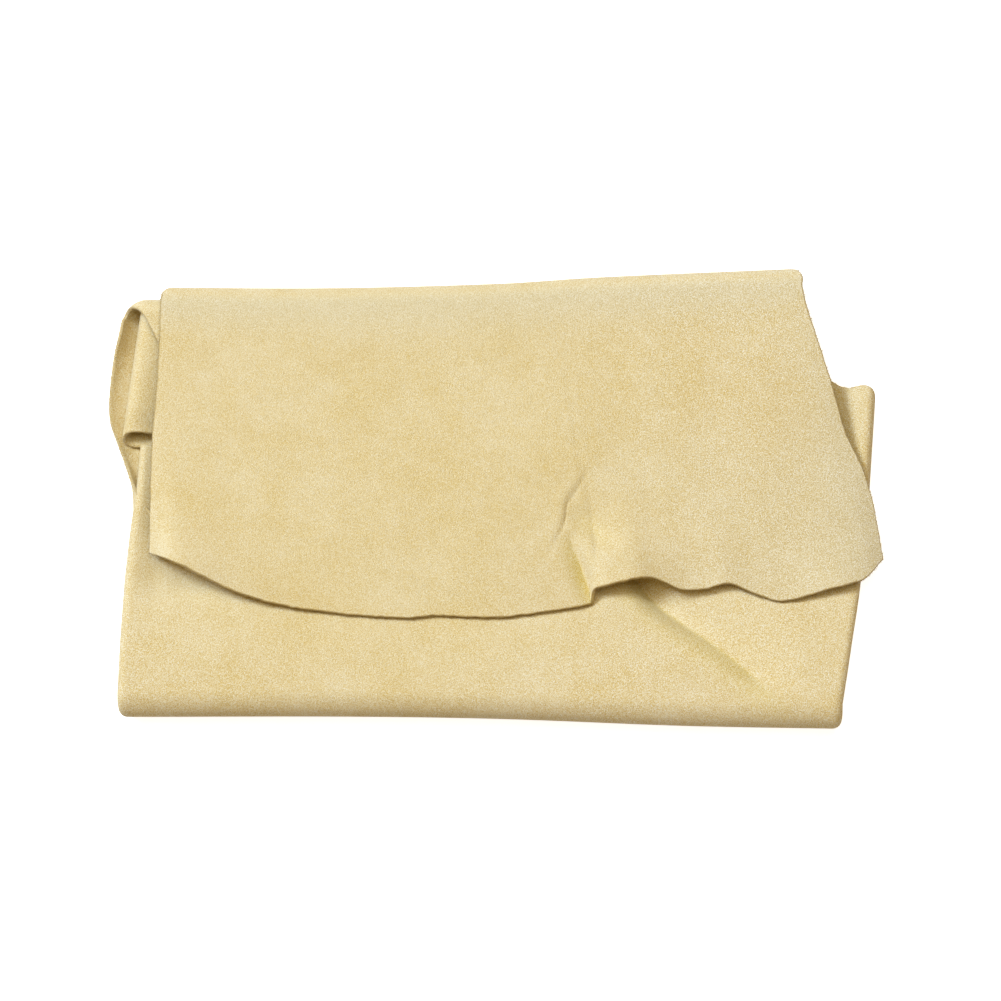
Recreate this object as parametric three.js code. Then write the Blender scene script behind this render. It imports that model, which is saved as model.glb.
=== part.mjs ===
// A chamois leather folded like an envelope: one soft skin whose side margins are turned in,
// whose lower part is folded up and whose upper part is folded down over it as a flap.
// Millimetres. X runs right, Y away from the reader, Z up, and the skin lies on Z = 0.
import * as THREE from "three";

// The skin
const THICKNESS = 1.4; // oil-tanned suede, soft and springy
const PLY_GAP = 0.4; // air between two plies that lie on each other
const CREASE_GAP = 0.3; // between two panels along the line where they fold

// Heights of the rolled folds, outside to outside
const TOP_FOLD_HEIGHT = 18;
const CORNER_FOLD_HEIGHT = 15.4;
const BOTTOM_FOLD_HEIGHT = 17;
const LEFT_FOLD_HEIGHT = 9.6;
const RIGHT_FOLD_HEIGHT = 7.6;

// Outermost lines of the top and bottom folds, on the middle line X = 0
const TOP_FOLD_Y = 88;
const BOTTOM_FOLD_Y = -87;
const CORNER_SET_BACK = 4.6; // how far the top left corner folds short of the flap

// The flap: its ends on the top fold and its two free corners
const FLAP_LEFT = -131.5;
const FLAP_RIGHT = 120.5;
const FLAP_LEFT_LENGTH = 111;
const FLAP_RIGHT_LENGTH = 119;
const FLAP_LEFT_DRIFT = -1.6; // the left edge leans out towards its corner
const FLAP_TIP_DRIFT = 28.9; // the right edge runs out to the drooping tip

// The front panel: its ends on the bottom fold and its hidden upper corners
const FRONT_LEFT = -143.4;
const FRONT_RIGHT = 131.5;
const FRONT_LEFT_LENGTH = 108.5;
const FRONT_RIGHT_LENGTH = 89;
const FRONT_LEFT_DRIFT = 4.6;
const FRONT_RIGHT_DRIFT = 12.3;
const FRONT_SINK = 10.3; // the panel sinks this far from the bottom fold to its hidden edge
const FRONT_EDGE_DROP = 3.2; // its side edges roll down
const FRONT_EDGE_WIDTH = 4; // over about this width
const FRONT_EDGE_FADE = 0.5; // share of that drop which is lost at the hidden edge

// The slanting crease in the front panel, placed by shares of its width and of its length
const CREASE_FOOT = 0.98;
const CREASE_HEAD = 0.72;
const CREASE_RUN = 0.6;
const CREASE_FADE = 0.25;
const CREASE_DEPTH = 1.1;
const CREASE_WIDTH = 6;

// The pinch in the flap, placed by shares of its width and of its length
const PINCH_PLACE = 0.588;
const PINCH_LEAN = 0.03;
const PINCH_START = 0.44;
const PINCH_RUN = 0.4;
const PINCH_DEPTH = 1.6;
const PINCH_WIDTH = 4;

// The back panel stays inside the front panel's sides, and its left leaf bulges out
const BACK_LEFT = -141;
const BACK_RIGHT = 129.5;
const BACK_TOP_LEFT = -147.5;
const BACK_TOP_RIGHT = 119;
const LEAF_MARGIN = 5; // strip of the left leaf that curls up
const LEAF_CURL = 6.2; // height of its raised edge at the top
const LEAF_CURL_START = 0.52; // share of the panel's length where its edge starts to rise
const CORNER_STEP = 6; // width over which the top fold steps back to its corner

// The turned-in margins: how far their fold lines stay from the folds, and how far they reach in
const LEFT_TURN_CLEARANCE = 5.3; // above the front panel's hidden corner
const LEFT_TURN_SET_BACK = 3.9; // below the corner's outermost line
const LEFT_TURN_INSET = 6.4; // inside the back panel's corner at the high end
const LEFT_TURN_LEAN = 5.5; // the line leans out by this much at the low end
const LEFT_TURN_REACH_LOW = 24;
const LEFT_TURN_REACH_HIGH = 12;
const LEFT_UNDER_REACH = 22;
const LIP = 2.6; // the under ply shows this far below the turned-in one
const RIGHT_TURN_CLEARANCE = 5.8; // above the front panel's hidden corner
const RIGHT_TURN_LENGTH = 41;
const RIGHT_TURN_X = 146.4; // outermost line at the low end
const RIGHT_TURN_LEAN = 3.9; // the line leans out by this much at the high end
const RIGHT_TURN_REACH = 26;
const RIGHT_UNDER_REACH = 22;
const VALLEY_DEPTH = 3.6; // hollow in the right margin beside the flap
const VALLEY_PLACE = 11; // how far in from the fold line it lies
const VALLEY_WIDTH = 4.5;
const VALLEY_RAMP = 3; // width over which it starts, inside the roll

// The corner lip, the left end of the top fold
const LIP_INSET = 2; // inside the back panel's corner
const LIP_UNDER_FLAP = 12.5; // hidden part under the flap
const LIP_SHORT = 6;
const LIP_LONG = 34;
const LIP_SLOPE = 0.1;

// How the rows and columns of each ply are shared out
const ROLL_SHARE = 0.25; // rows in the quarter roll of the flap and of the front panel
const BACK_ROLL_SHARE = 0.2; // rows in each quarter roll of the back panel
const LEAF_COLUMNS = 0.2; // columns in the left leaf's margin
const TURN_SHARE = 0.4; // columns in a margin's quarter roll

// Offsets of each edge from the straight line between its corners, as [share of the way, mm]
const FLAP_LEFT_EDGE = [[0, 0], [0.3, 0.2], [0.55, -0.7], [0.8, -0.5], [1, 0]];
const FLAP_RIGHT_EDGE = [
  [0, 0], [0.1, -0.9], [0.35, -0.2], [0.55, -0.3], [0.68, 2.2], [0.78, 2.5], [0.9, 1.4], [1, 0],
];
const FLAP_FREE_EDGE = [
  [0, 0], [0.036, -3.9], [0.12, -14.6], [0.2, -20.3], [0.34, -24.2], [0.39, -23.2], [0.475, -23.8],
  [0.58, -19.7], [0.603, -18], [0.616, -12.8], [0.68, -8.6], [0.725, -12.3], [0.757, -12.2],
  [0.79, -10.4], [0.825, -14], [0.86, -16.9], [0.936, -11.8], [0.975, -8], [1, 0],
];
const FRONT_LEFT_EDGE = [[0, 0], [0.35, -1], [0.6, -0.7], [0.8, 0.3], [1, 0]];
const FRONT_RIGHT_EDGE = [[0, 0], [0.3, 0.9], [0.6, 1.9], [0.8, 1.2], [1, 0]];
const BACK_LEFT_EDGE = [
  [0, 0], [0.2, 1.5], [0.4, 3.9], [0.53, 5.5], [0.6, 0.5], [0.67, -3.4],
  [0.73, -6], [0.79, -6.2], [0.89, -4.2], [1, 0],
];
const BACK_RIGHT_EDGE = [
  [0, 0], [0.3, 11.2], [0.5, 18.2], [0.6, 20.5], [0.7, 23.5], [0.73, 22.5], [0.75, 17],
  [0.775, 6.2], [0.82, 4], [0.93, 0.8], [1, 0],
];

// Lift of the flap's free edge above the ply below it, as [share of its width, mm]
const FLAP_EDGE_LIFT = [
  [0, 5.5], [0.05, 4.4], [0.12, 1], [0.3, 0], [0.57, 0.2], [0.603, 1.2], [0.63, 5.2], [0.66, 5.8],
  [0.69, 3], [0.725, 0.3], [0.755, 0.6], [0.785, 2.8], [0.82, 0.8], [0.86, 0], [0.9, 2.2],
  [0.94, 4.2], [0.97, 2.6], [1, -3],
];
// Where the two fold lines stand out from or behind their middle, as [X, mm]
const TOP_FOLD_BOW = [[-131.5, -1.5], [-68, -1.8], [2, 0.1], [40, 2.7], [116, 6.2]];
const BOTTOM_FOLD_BOW = [[-143, 0.8], [-56, 0.9], [2, 0], [73, -2.7], [131, -3.8]];

const CHAMOIS = new THREE.MeshStandardMaterial({ color: 0xe6d5a4, roughness: 0.95, metalness: 0 });

// A smooth curve through [x, y] knots, read as y at x and straight beyond its ends
function curveThrough(knots) {
  const slope = (i, j) => (knots[j][1] - knots[i][1]) / (knots[j][0] - knots[i][0]);
  const last = knots.length - 1;
  const tangents = knots.map((_, i) => slope(Math.max(i - 1, 0), Math.min(i + 1, last)));
  return (x) => {
    if (x <= knots[0][0]) return knots[0][1] + tangents[0] * (x - knots[0][0]);
    if (x >= knots[last][0]) return knots[last][1] + tangents[last] * (x - knots[last][0]);
    const i = knots.findIndex((knot) => knot[0] > x) - 1;
    const span = knots[i + 1][0] - knots[i][0];
    const t = (x - knots[i][0]) / span;
    const bend = t * (1 - t) * span;
    const rise = t * t * (3 - 2 * t);
    return (
      knots[i][1] + (knots[i + 1][1] - knots[i][1]) * rise +
      bend * (tangents[i] * (1 - t) - tangents[i + 1] * t)
    );
  };
}

const mix = THREE.MathUtils.lerp;
const ease = (x) => THREE.MathUtils.smoothstep(x, 0, 1);
const hump = (distance, width) => Math.exp(-((distance / width) ** 2));

const topBow = curveThrough(TOP_FOLD_BOW);
const bottomBow = curveThrough(BOTTOM_FOLD_BOW);
const topFoldY = (x) => TOP_FOLD_Y + topBow(x);
const bottomFoldY = (x) => BOTTOM_FOLD_Y + bottomBow(x);
const topRadius = TOP_FOLD_HEIGHT / 2;
const bottomRadius = BOTTOM_FOLD_HEIGHT / 2;
const cornerRadius = CORNER_FOLD_HEIGHT / 2;
const plyFloor = THICKNESS + PLY_GAP;

// Plan of a panel: u runs from its left edge to its right edge, v from its fold to its far edge
function panelPlan({ nearLeft, nearRight, farLeft, farRight }, { near, far, left, right }) {
  return (u, v) => {
    const nearX = mix(nearLeft.x, nearRight.x, u);
    const nearPoint = new THREE.Vector2(nearX, near(nearX));
    const farPoint = farLeft.clone().lerp(farRight, u);
    farPoint.y += far(u);
    const leftPoint = nearLeft.clone().lerp(farLeft, v);
    leftPoint.x += left(v);
    const rightPoint = nearRight.clone().lerp(farRight, v);
    rightPoint.x += right(v);
    const flat = nearLeft.clone().lerp(nearRight, u).lerp(farLeft.clone().lerp(farRight, u), v);
    const ends = nearPoint.lerp(farPoint, v);
    return ends.add(leftPoint.lerp(rightPoint, u)).sub(flat);
  };
}

// One ply as a closed solid: middle(u, v) is the middle of its thickness
function ply(name, columns, rows, middle) {
  const geometry = new THREE.BoxGeometry(1, 1, 1, columns, rows, 1);
  const position = geometry.attributes.position;
  const step = 1e-3;
  for (let i = 0; i < position.count; i++) {
    const u = position.getX(i) + 0.5;
    const v = position.getY(i) + 0.5;
    const half = Math.sign(position.getZ(i)) * (THICKNESS / 2);
    const along = middle(Math.min(u + step, 1), v).sub(middle(Math.max(u - step, 0), v));
    const across = middle(u, Math.min(v + step, 1)).sub(middle(u, Math.max(v - step, 0)));
    const point = middle(u, v).addScaledVector(along.cross(across).normalize(), half);
    position.setXYZ(i, point.x, point.y, point.z);
  }
  geometry.computeVertexNormals();
  const mesh = new THREE.Mesh(geometry, CHAMOIS);
  mesh.name = name;
  return mesh;
}

// Height of the front panel's middle: it sinks inwards and rolls down at its sides
const frontFold = bottomRadius - THICKNESS / 2;
const frontTop = bottomRadius + frontFold;
function frontHeight(u, v) {
  const width = FRONT_RIGHT - FRONT_LEFT;
  const toSide = Math.min(u, 1 - u) * width;
  const line = mix(CREASE_FOOT, CREASE_HEAD, v / CREASE_RUN);
  const fade = ease(v / CREASE_FADE) * ease((CREASE_RUN - v) / CREASE_FADE);
  const crease = CREASE_DEPTH * hump((u - line) * width, CREASE_WIDTH) * fade;
  const side = FRONT_EDGE_DROP * hump(toSide, FRONT_EDGE_WIDTH) * (1 - FRONT_EDGE_FADE * v);
  return frontTop - FRONT_SINK * ease(v) - side - crease;
}

const frontLeftY = bottomFoldY(FRONT_LEFT) + FRONT_LEFT_LENGTH;
const frontRightY = bottomFoldY(FRONT_RIGHT) + FRONT_RIGHT_LENGTH;
const frontPlan = panelPlan(
  {
    nearLeft: new THREE.Vector2(FRONT_LEFT, bottomFoldY(FRONT_LEFT) + bottomRadius),
    nearRight: new THREE.Vector2(FRONT_RIGHT, bottomFoldY(FRONT_RIGHT) + bottomRadius),
    farLeft: new THREE.Vector2(FRONT_LEFT + FRONT_LEFT_DRIFT, frontLeftY),
    farRight: new THREE.Vector2(FRONT_RIGHT + FRONT_RIGHT_DRIFT, frontRightY),
  },
  {
    near: (x) => bottomFoldY(x) + bottomRadius,
    far: () => 0,
    left: curveThrough(FRONT_LEFT_EDGE),
    right: curveThrough(FRONT_RIGHT_EDGE),
  },
);

// Front panel: a quarter roll up from the bottom crease, then the panel itself
function frontMiddle(u, v) {
  if (v >= ROLL_SHARE) {
    const out = (v - ROLL_SHARE) / (1 - ROLL_SHARE);
    const plan = frontPlan(u, out);
    return new THREE.Vector3(plan.x, plan.y, frontHeight(u, out));
  }
  const start = CREASE_GAP / 2 / frontFold;
  const turn = mix(start, Math.PI / 2, v / ROLL_SHARE);
  const plan = frontPlan(u, 0);
  const drop = (frontTop - frontHeight(u, 0)) * Math.sin(turn);
  return new THREE.Vector3(
    plan.x,
    plan.y - frontFold * Math.cos(turn),
    bottomRadius + frontFold * Math.sin(turn) - drop,
  );
}

// The flap: plan, height and its quarter roll down to the top crease
const flapFold = topRadius - THICKNESS / 2;
const flapTop = topRadius + flapFold;
const edgeLift = curveThrough(FLAP_EDGE_LIFT);
const freeEdge = curveThrough(FLAP_FREE_EDGE);
const flapPlan = panelPlan(
  {
    nearLeft: new THREE.Vector2(FLAP_LEFT, topFoldY(FLAP_LEFT) - topRadius),
    nearRight: new THREE.Vector2(FLAP_RIGHT, topFoldY(FLAP_RIGHT) - topRadius),
    farLeft: new THREE.Vector2(FLAP_LEFT + FLAP_LEFT_DRIFT, topFoldY(FLAP_LEFT) - FLAP_LEFT_LENGTH),
    farRight: new THREE.Vector2(FLAP_RIGHT + FLAP_TIP_DRIFT, topFoldY(FLAP_RIGHT) - FLAP_RIGHT_LENGTH),
  },
  {
    near: (x) => topFoldY(x) - topRadius,
    far: freeEdge,
    left: curveThrough(FLAP_LEFT_EDGE),
    right: curveThrough(FLAP_RIGHT_EDGE),
  },
);

// Height of the front panel under the flap's free edge, where the flap rests on it
function restHeight(x, y) {
  const share = (y - bottomFoldY(x) - bottomRadius) / (mix(FRONT_LEFT_LENGTH, FRONT_RIGHT_LENGTH,
    (x - FRONT_LEFT) / (FRONT_RIGHT - FRONT_LEFT)) - bottomRadius);
  return frontTop - FRONT_SINK * ease(share) + THICKNESS + PLY_GAP;
}

function flapHeight(u, v) {
  const edge = flapPlan(u, 1);
  const rest = restHeight(edge.x, edge.y);
  const flat = mix(flapTop, rest, v ** 2);
  const aside = (u - PINCH_PLACE - PINCH_LEAN * (1 - v)) * (FLAP_RIGHT - FLAP_LEFT);
  const pinch = PINCH_DEPTH * hump(aside, PINCH_WIDTH) * ease((v - PINCH_START) / PINCH_RUN);
  return flat + edgeLift(u) * v ** 4 - pinch * (1 - v ** 6);
}

function flapMiddle(u, v) {
  if (v >= ROLL_SHARE) {
    const out = (v - ROLL_SHARE) / (1 - ROLL_SHARE);
    const plan = flapPlan(u, out);
    return new THREE.Vector3(plan.x, plan.y, flapHeight(u, out));
  }
  const start = CREASE_GAP / 2 / flapFold;
  const turn = mix(start, Math.PI / 2, v / ROLL_SHARE);
  const plan = flapPlan(u, 0);
  return new THREE.Vector3(plan.x, plan.y + flapFold * Math.cos(turn), topRadius + flapFold * Math.sin(turn));
}

// The back panel: flat on the floor, rolled up at both ends, with the left leaf's edge curled up
const pastCorner = (x) => ease((x - FLAP_LEFT) / CORNER_STEP);
const backTopRadius = (x) => mix(cornerRadius, topRadius, pastCorner(x) ** 2);
const backTopY = (x) => topFoldY(Math.max(x, FLAP_LEFT)) - CORNER_SET_BACK * (1 - pastCorner(x));
const backPlan = panelPlan(
  {
    nearLeft: new THREE.Vector2(BACK_LEFT, bottomFoldY(BACK_LEFT) + bottomRadius),
    nearRight: new THREE.Vector2(BACK_RIGHT, bottomFoldY(BACK_RIGHT) + bottomRadius),
    farLeft: new THREE.Vector2(BACK_TOP_LEFT, backTopY(BACK_TOP_LEFT) - cornerRadius),
    farRight: new THREE.Vector2(BACK_TOP_RIGHT, backTopY(BACK_TOP_RIGHT) - topRadius),
  },
  {
    near: (x) => bottomFoldY(x) + bottomRadius,
    far: (u) => {
      const x = mix(BACK_TOP_LEFT, BACK_TOP_RIGHT, u);
      const line = mix(backTopY(BACK_TOP_LEFT) - cornerRadius, backTopY(BACK_TOP_RIGHT) - topRadius, u);
      return backTopY(x) - backTopRadius(x) - line;
    },
    left: curveThrough(BACK_LEFT_EDGE),
    right: curveThrough(BACK_RIGHT_EDGE),
  },
);
const leafLift = (v) => LEAF_CURL * ease((v - LEAF_CURL_START) / (1 - LEAF_CURL_START));
function backMiddle(column, v) {
  const margin = LEAF_MARGIN / (BACK_RIGHT - BACK_LEFT);
  const u = column < LEAF_COLUMNS
    ? (margin * column) / LEAF_COLUMNS
    : mix(margin, 1, (column - LEAF_COLUMNS) / (1 - LEAF_COLUMNS));
  const out = THREE.MathUtils.clamp((v - BACK_ROLL_SHARE) / (1 - 2 * BACK_ROLL_SHARE), 0, 1);
  const plan = backPlan(u, out);
  const curl = leafLift(out) * Math.max(0, 1 - column / LEAF_COLUMNS) ** 2;
  const flat = THICKNESS / 2;
  if (v < BACK_ROLL_SHARE) {
    const turn = mix(CREASE_GAP / 2 / frontFold, Math.PI / 2, v / BACK_ROLL_SHARE);
    const rise = bottomRadius - frontFold * Math.sin(turn);
    return new THREE.Vector3(plan.x, plan.y - frontFold * Math.cos(turn), rise);
  }
  if (v > 1 - BACK_ROLL_SHARE) {
    const outer = backTopRadius(plan.x);
    const roll = outer - THICKNESS / 2;
    const turn = mix(CREASE_GAP / 2 / roll, Math.PI / 2, (1 - v) / BACK_ROLL_SHARE);
    const rise = Math.max(outer - roll * Math.sin(turn), flat + curl * Math.sin(turn));
    return new THREE.Vector3(plan.x, plan.y + roll * Math.cos(turn), rise);
  }
  return new THREE.Vector3(plan.x, plan.y, flat + curl);
}

// A turned-in margin: side is -1 at the left and 1 at the right, and inward runs from its fold line
const cornerY = backTopY(BACK_TOP_LEFT);
const rightTurnLow = frontRightY + RIGHT_TURN_CLEARANCE;
const rightTurnHigh = rightTurnLow + RIGHT_TURN_LENGTH;
const LEFT_MARGIN = {
  side: -1, low: frontLeftY + LEFT_TURN_CLEARANCE, high: cornerY - LEFT_TURN_SET_BACK,
  x: BACK_TOP_LEFT + LEFT_TURN_INSET - LEFT_TURN_LEAN, lean: LEFT_TURN_LEAN,
  radius: LEFT_FOLD_HEIGHT / 2, reachLow: LEFT_TURN_REACH_LOW, reachHigh: LEFT_TURN_REACH_HIGH,
  under: LEFT_UNDER_REACH, underHigh: cornerY - cornerRadius, lip: LIP, valley: 0,
};
const RIGHT_MARGIN = {
  side: 1, low: rightTurnLow, high: rightTurnHigh, x: RIGHT_TURN_X, lean: RIGHT_TURN_LEAN,
  radius: RIGHT_FOLD_HEIGHT / 2, reachLow: RIGHT_TURN_REACH, reachHigh: RIGHT_TURN_REACH,
  under: RIGHT_UNDER_REACH, underHigh: rightTurnHigh, lip: 0, valley: VALLEY_DEPTH,
};

function marginPoint(margin, inward, y, z) {
  const along = (y - margin.low) / (margin.high - margin.low);
  const fold = margin.x + margin.lean * along;
  return new THREE.Vector3(fold - margin.side * inward, y, z);
}

// The ply that stays down: from its hidden inner edge out to the crease
function underMiddle(margin) {
  const roll = margin.radius - THICKNESS / 2;
  return (u, v) => {
    const y = mix(margin.low - margin.lip, margin.underHigh, v);
    if (u < 1 - TURN_SHARE) {
      const inward = mix(margin.under, margin.radius, u / (1 - TURN_SHARE));
      return marginPoint(margin, inward, y, plyFloor + THICKNESS / 2);
    }
    const end = Math.PI / 2 - CREASE_GAP / 2 / roll;
    const turn = mix(0, end, (u - 1 + TURN_SHARE) / TURN_SHARE);
    const inward = margin.radius - roll * Math.sin(turn);
    return marginPoint(margin, inward, y, plyFloor + margin.radius - roll * Math.cos(turn));
  };
}

// The ply that turns in: from the crease over to its hidden inner edge
function turnMiddle(margin) {
  const roll = margin.radius - THICKNESS / 2;
  const top = plyFloor + margin.radius + roll;
  return (u, v) => {
    const y = mix(margin.low, margin.high, v);
    if (u < TURN_SHARE) {
      const turn = mix(CREASE_GAP / 2 / roll, Math.PI / 2, u / TURN_SHARE);
      const inward = margin.radius - roll * Math.cos(turn);
      return marginPoint(margin, inward, y, plyFloor + margin.radius + roll * Math.sin(turn));
    }
    const reach = mix(margin.reachLow, margin.reachHigh, v);
    const inward = mix(margin.radius, reach, (u - TURN_SHARE) / (1 - TURN_SHARE));
    const hollow = margin.valley * hump(inward - VALLEY_PLACE, VALLEY_WIDTH);
    return marginPoint(margin, inward, y, top - hollow * ease((inward - margin.radius) / VALLEY_RAMP));
  };
}

// The corner lip: the left end of the top fold, cut off on a slant
const lipRoll = cornerRadius - THICKNESS / 2;
function lipMiddle(u, v) {
  const x = mix(BACK_TOP_LEFT + LIP_INSET, FLAP_LEFT + LIP_UNDER_FLAP, u);
  const length = mix(LIP_SHORT, LIP_LONG, u);
  const along = mix(CREASE_GAP / 2, length, v);
  const rollLength = (lipRoll * Math.PI) / 2;
  if (along < rollLength) {
    const turn = along / lipRoll;
    const y = cornerY - cornerRadius + lipRoll * Math.cos(turn);
    return new THREE.Vector3(x, y, cornerRadius + lipRoll * Math.sin(turn));
  }
  const past = along - rollLength;
  return new THREE.Vector3(x, cornerY - cornerRadius - past, cornerRadius + lipRoll - LIP_SLOPE * past);
}

const chamois = new THREE.Group();
chamois.name = "chamois_leather";
chamois.add(
  ply("back_panel", 25, 15, backMiddle),
  ply("left_under_ply", 8, 10, underMiddle(LEFT_MARGIN)),
  ply("left_turn_in", 9, 10, turnMiddle(LEFT_MARGIN)),
  ply("right_under_ply", 8, 8, underMiddle(RIGHT_MARGIN)),
  ply("right_turn_in", 14, 8, turnMiddle(RIGHT_MARGIN)),
  ply("front_panel", 30, 14, frontMiddle),
  ply("corner_lip", 8, 9, lipMiddle),
  ply("flap", 37, 15, flapMiddle),
);

export default chamois;
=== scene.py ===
"""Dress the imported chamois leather: soft sheets of suede, studio light and a camera.

The leather is one skin folded like an envelope. Each sheet is a stretch of it between two fold lines
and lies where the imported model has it. Shapes are worked out in millimetres and turned into metres
when a mesh is made. X runs right, Y away from the reader and Z up.
"""

from __future__ import annotations

import logging
import math
from dataclasses import dataclass, field
from enum import Enum
from typing import Any, Callable

import bpy
import numpy as np
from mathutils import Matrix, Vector

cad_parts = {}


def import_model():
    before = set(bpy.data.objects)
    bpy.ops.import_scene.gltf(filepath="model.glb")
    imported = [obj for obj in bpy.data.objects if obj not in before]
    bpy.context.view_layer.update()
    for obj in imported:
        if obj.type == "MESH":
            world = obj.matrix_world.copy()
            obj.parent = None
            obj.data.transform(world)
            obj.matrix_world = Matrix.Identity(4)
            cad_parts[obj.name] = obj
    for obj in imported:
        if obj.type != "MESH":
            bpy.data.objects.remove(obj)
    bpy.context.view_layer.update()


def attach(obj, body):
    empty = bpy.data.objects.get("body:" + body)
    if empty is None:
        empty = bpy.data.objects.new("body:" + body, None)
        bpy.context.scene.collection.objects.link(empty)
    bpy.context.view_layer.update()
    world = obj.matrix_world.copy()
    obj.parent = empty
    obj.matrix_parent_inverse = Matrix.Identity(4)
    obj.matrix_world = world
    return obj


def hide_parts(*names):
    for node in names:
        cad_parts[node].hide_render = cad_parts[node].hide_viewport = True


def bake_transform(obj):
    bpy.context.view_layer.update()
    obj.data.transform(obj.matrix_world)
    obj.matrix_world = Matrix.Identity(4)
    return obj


LOG = logging.getLogger("chamois")
MM = 0.001
WHITE = (1.0, 1.0, 1.0, 1.0)
# Places of a Mix node's inputs and outputs, whose names are not unique
MIX_SHARE = 0
MIX_NUMBER_A, MIX_NUMBER_B, MIX_NUMBER = 2, 3, 0
MIX_COLOUR_A, MIX_COLOUR_B, MIX_COLOUR = 6, 7, 2
Grid = np.ndarray


class Body(str, Enum):
    """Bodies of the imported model."""

    BACK = "back"
    FLAP = "flap"
    FRONT = "front"
    LEFT_MARGIN = "left_margin"
    RIGHT_MARGIN = "right_margin"


class Edge(Enum):
    """Edges of a sheet's grid of points."""

    FIRST_ROW = "first row"
    LAST_ROW = "last row"
    FIRST_COLUMN = "first column"
    LAST_COLUMN = "last column"


# Shape helpers


def mix(a: Any, b: Any, share: Any) -> Any:
    """Return the value that lies share of the way from a to b."""
    return a + (b - a) * share


def ease(x: Any) -> Any:
    """Return a smooth step from 0 at x = 0 to 1 at x = 1."""
    t = np.clip(x, 0.0, 1.0)
    return t * t * (3.0 - 2.0 * t)


def hump(distance: Any, width: Any) -> Any:
    """Return a bell of height 1 that fades over width."""
    return np.exp(-((distance / width) ** 2))


def slope_to(distance: Any, width: Any) -> Any:
    """Return a one-sided slope of height 1 that is steepest at distance 0 and ends at width."""
    return (1.0 - np.clip(distance / width, 0.0, 1.0)) ** 2


def unit(vectors: Grid) -> Grid:
    """Return the vectors scaled to length 1."""
    return vectors / np.maximum(np.linalg.norm(vectors, axis=-1, keepdims=True), 1e-9)


def points(x: Grid, y: Grid, z: Grid) -> Grid:
    """Return a grid of points from their three coordinates."""
    return np.stack(np.broadcast_arrays(x, y, z), -1)


class Curve:
    """A smooth curve through (x, y) knots, straight beyond its ends."""

    def __init__(self, *knots: tuple[float, float]) -> None:
        """Keep the knots and work out the slope at each.

        Args:
            knots: Points (x, y) of the curve, in order of x.
        """
        self.x, self.y = np.array(knots, float).T
        place = np.arange(len(knots))
        before = np.maximum(place - 1, 0)
        after = np.minimum(place + 1, len(knots) - 1)
        self.slope = (self.y[after] - self.y[before]) / (self.x[after] - self.x[before])

    def __call__(self, x: Any) -> Grid:
        """Follow the curve.

        Args:
            x: Places along it.

        Returns:
            The value of y at each place.
        """
        x = np.asarray(x, float)
        i = np.clip(np.searchsorted(self.x, x, side="right") - 1, 0, len(self.x) - 2)
        span = self.x[i + 1] - self.x[i]
        t = np.clip((x - self.x[i]) / span, 0.0, 1.0)
        bend = t * (1.0 - t) * span * (self.slope[i] * (1.0 - t) - self.slope[i + 1] * t)
        below = np.minimum(x - self.x[0], 0.0) * self.slope[0]
        above = np.maximum(x - self.x[-1], 0.0) * self.slope[-1]
        return mix(self.y[i], self.y[i + 1], ease(t)) + bend + below + above


class Ripple:
    """Smooth unevenness over a plan, the same in each run."""

    CELLS = 64

    def __init__(self, size: float, seed: int) -> None:
        """Draw the heights of a grid whose cells measure size millimetres."""
        self.size = size
        self.heights = np.random.default_rng(seed).uniform(-1.0, 1.0, (self.CELLS, self.CELLS))

    def __call__(self, x: Grid, y: Grid) -> Grid:
        """Find the unevenness at points of the plan.

        Args:
            x: Places along X.
            y: Places along Y.

        Returns:
            A height from -1 to 1 at each point.
        """
        column = np.floor(x / self.size).astype(int)
        row = np.floor(y / self.size).astype(int)
        right = ease(x / self.size - column)
        up = ease(y / self.size - row)
        low, high = row % self.CELLS, (row + 1) % self.CELLS
        near, far = column % self.CELLS, (column + 1) % self.CELLS
        lower = mix(self.heights[low, near], self.heights[low, far], right)
        upper = mix(self.heights[high, near], self.heights[high, far], right)
        return mix(lower, upper, up)


class Crease:
    """A smooth open line in plan that a crease follows."""

    STEPS = 40

    def __init__(self, *knots: tuple[float, float]) -> None:
        """Lay points along a smooth line.

        Args:
            knots: Points (x, y) that the line runs through, in order.
        """
        through = np.array(knots, float)
        passed = np.concatenate([[0.0], np.cumsum(np.linalg.norm(np.diff(through, axis=0), axis=1))])
        place = np.linspace(0.0, passed[-1], self.STEPS)
        self.points = np.stack([Curve(*zip(passed, axis))(place) for axis in through.T], -1)

    def measure(self, x: Grid, y: Grid) -> tuple[Grid, Grid]:
        """Find where points lie beside the line.

        Args:
            x: Places along X.
            y: Places along Y.

        Returns:
            The share of the line's length at the nearest point of it, and the distance from it,
            which counts up to the right of the line and down to its left.
        """
        steps = np.diff(self.points, axis=0)
        lengths = np.linalg.norm(steps, axis=1)
        passed = np.concatenate([[0.0], np.cumsum(lengths)])
        nearest = np.full(np.shape(x), np.inf)
        along = np.zeros(np.shape(x))
        aside = np.zeros(np.shape(x))
        for start, step, length, before in zip(self.points, steps, lengths, passed):
            dx, dy = x - start[0], y - start[1]
            t = np.clip((dx * step[0] + dy * step[1]) / length**2, 0.0, 1.0)
            distance = np.hypot(dx - t * step[0], dy - t * step[1])
            closer = distance < nearest
            side = np.sign(dx * step[1] - dy * step[0])
            along = np.where(closer, (before + t * length) / passed[-1], along)
            aside = np.where(closer, side * distance, aside)
            nearest = np.minimum(nearest, distance)
        return along, aside


@dataclass(frozen=True)
class Swelling:
    """A smooth rise of a sheet about a point in plan, or a hollow where its height is below 0."""

    x: float
    y: float
    reach_x: float
    reach_y: float
    height: float

    def __call__(self, x: Grid, y: Grid) -> Grid:
        """Return the rise at each point."""
        return self.height * hump(x - self.x, self.reach_x) * hump(y - self.y, self.reach_y)


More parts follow.
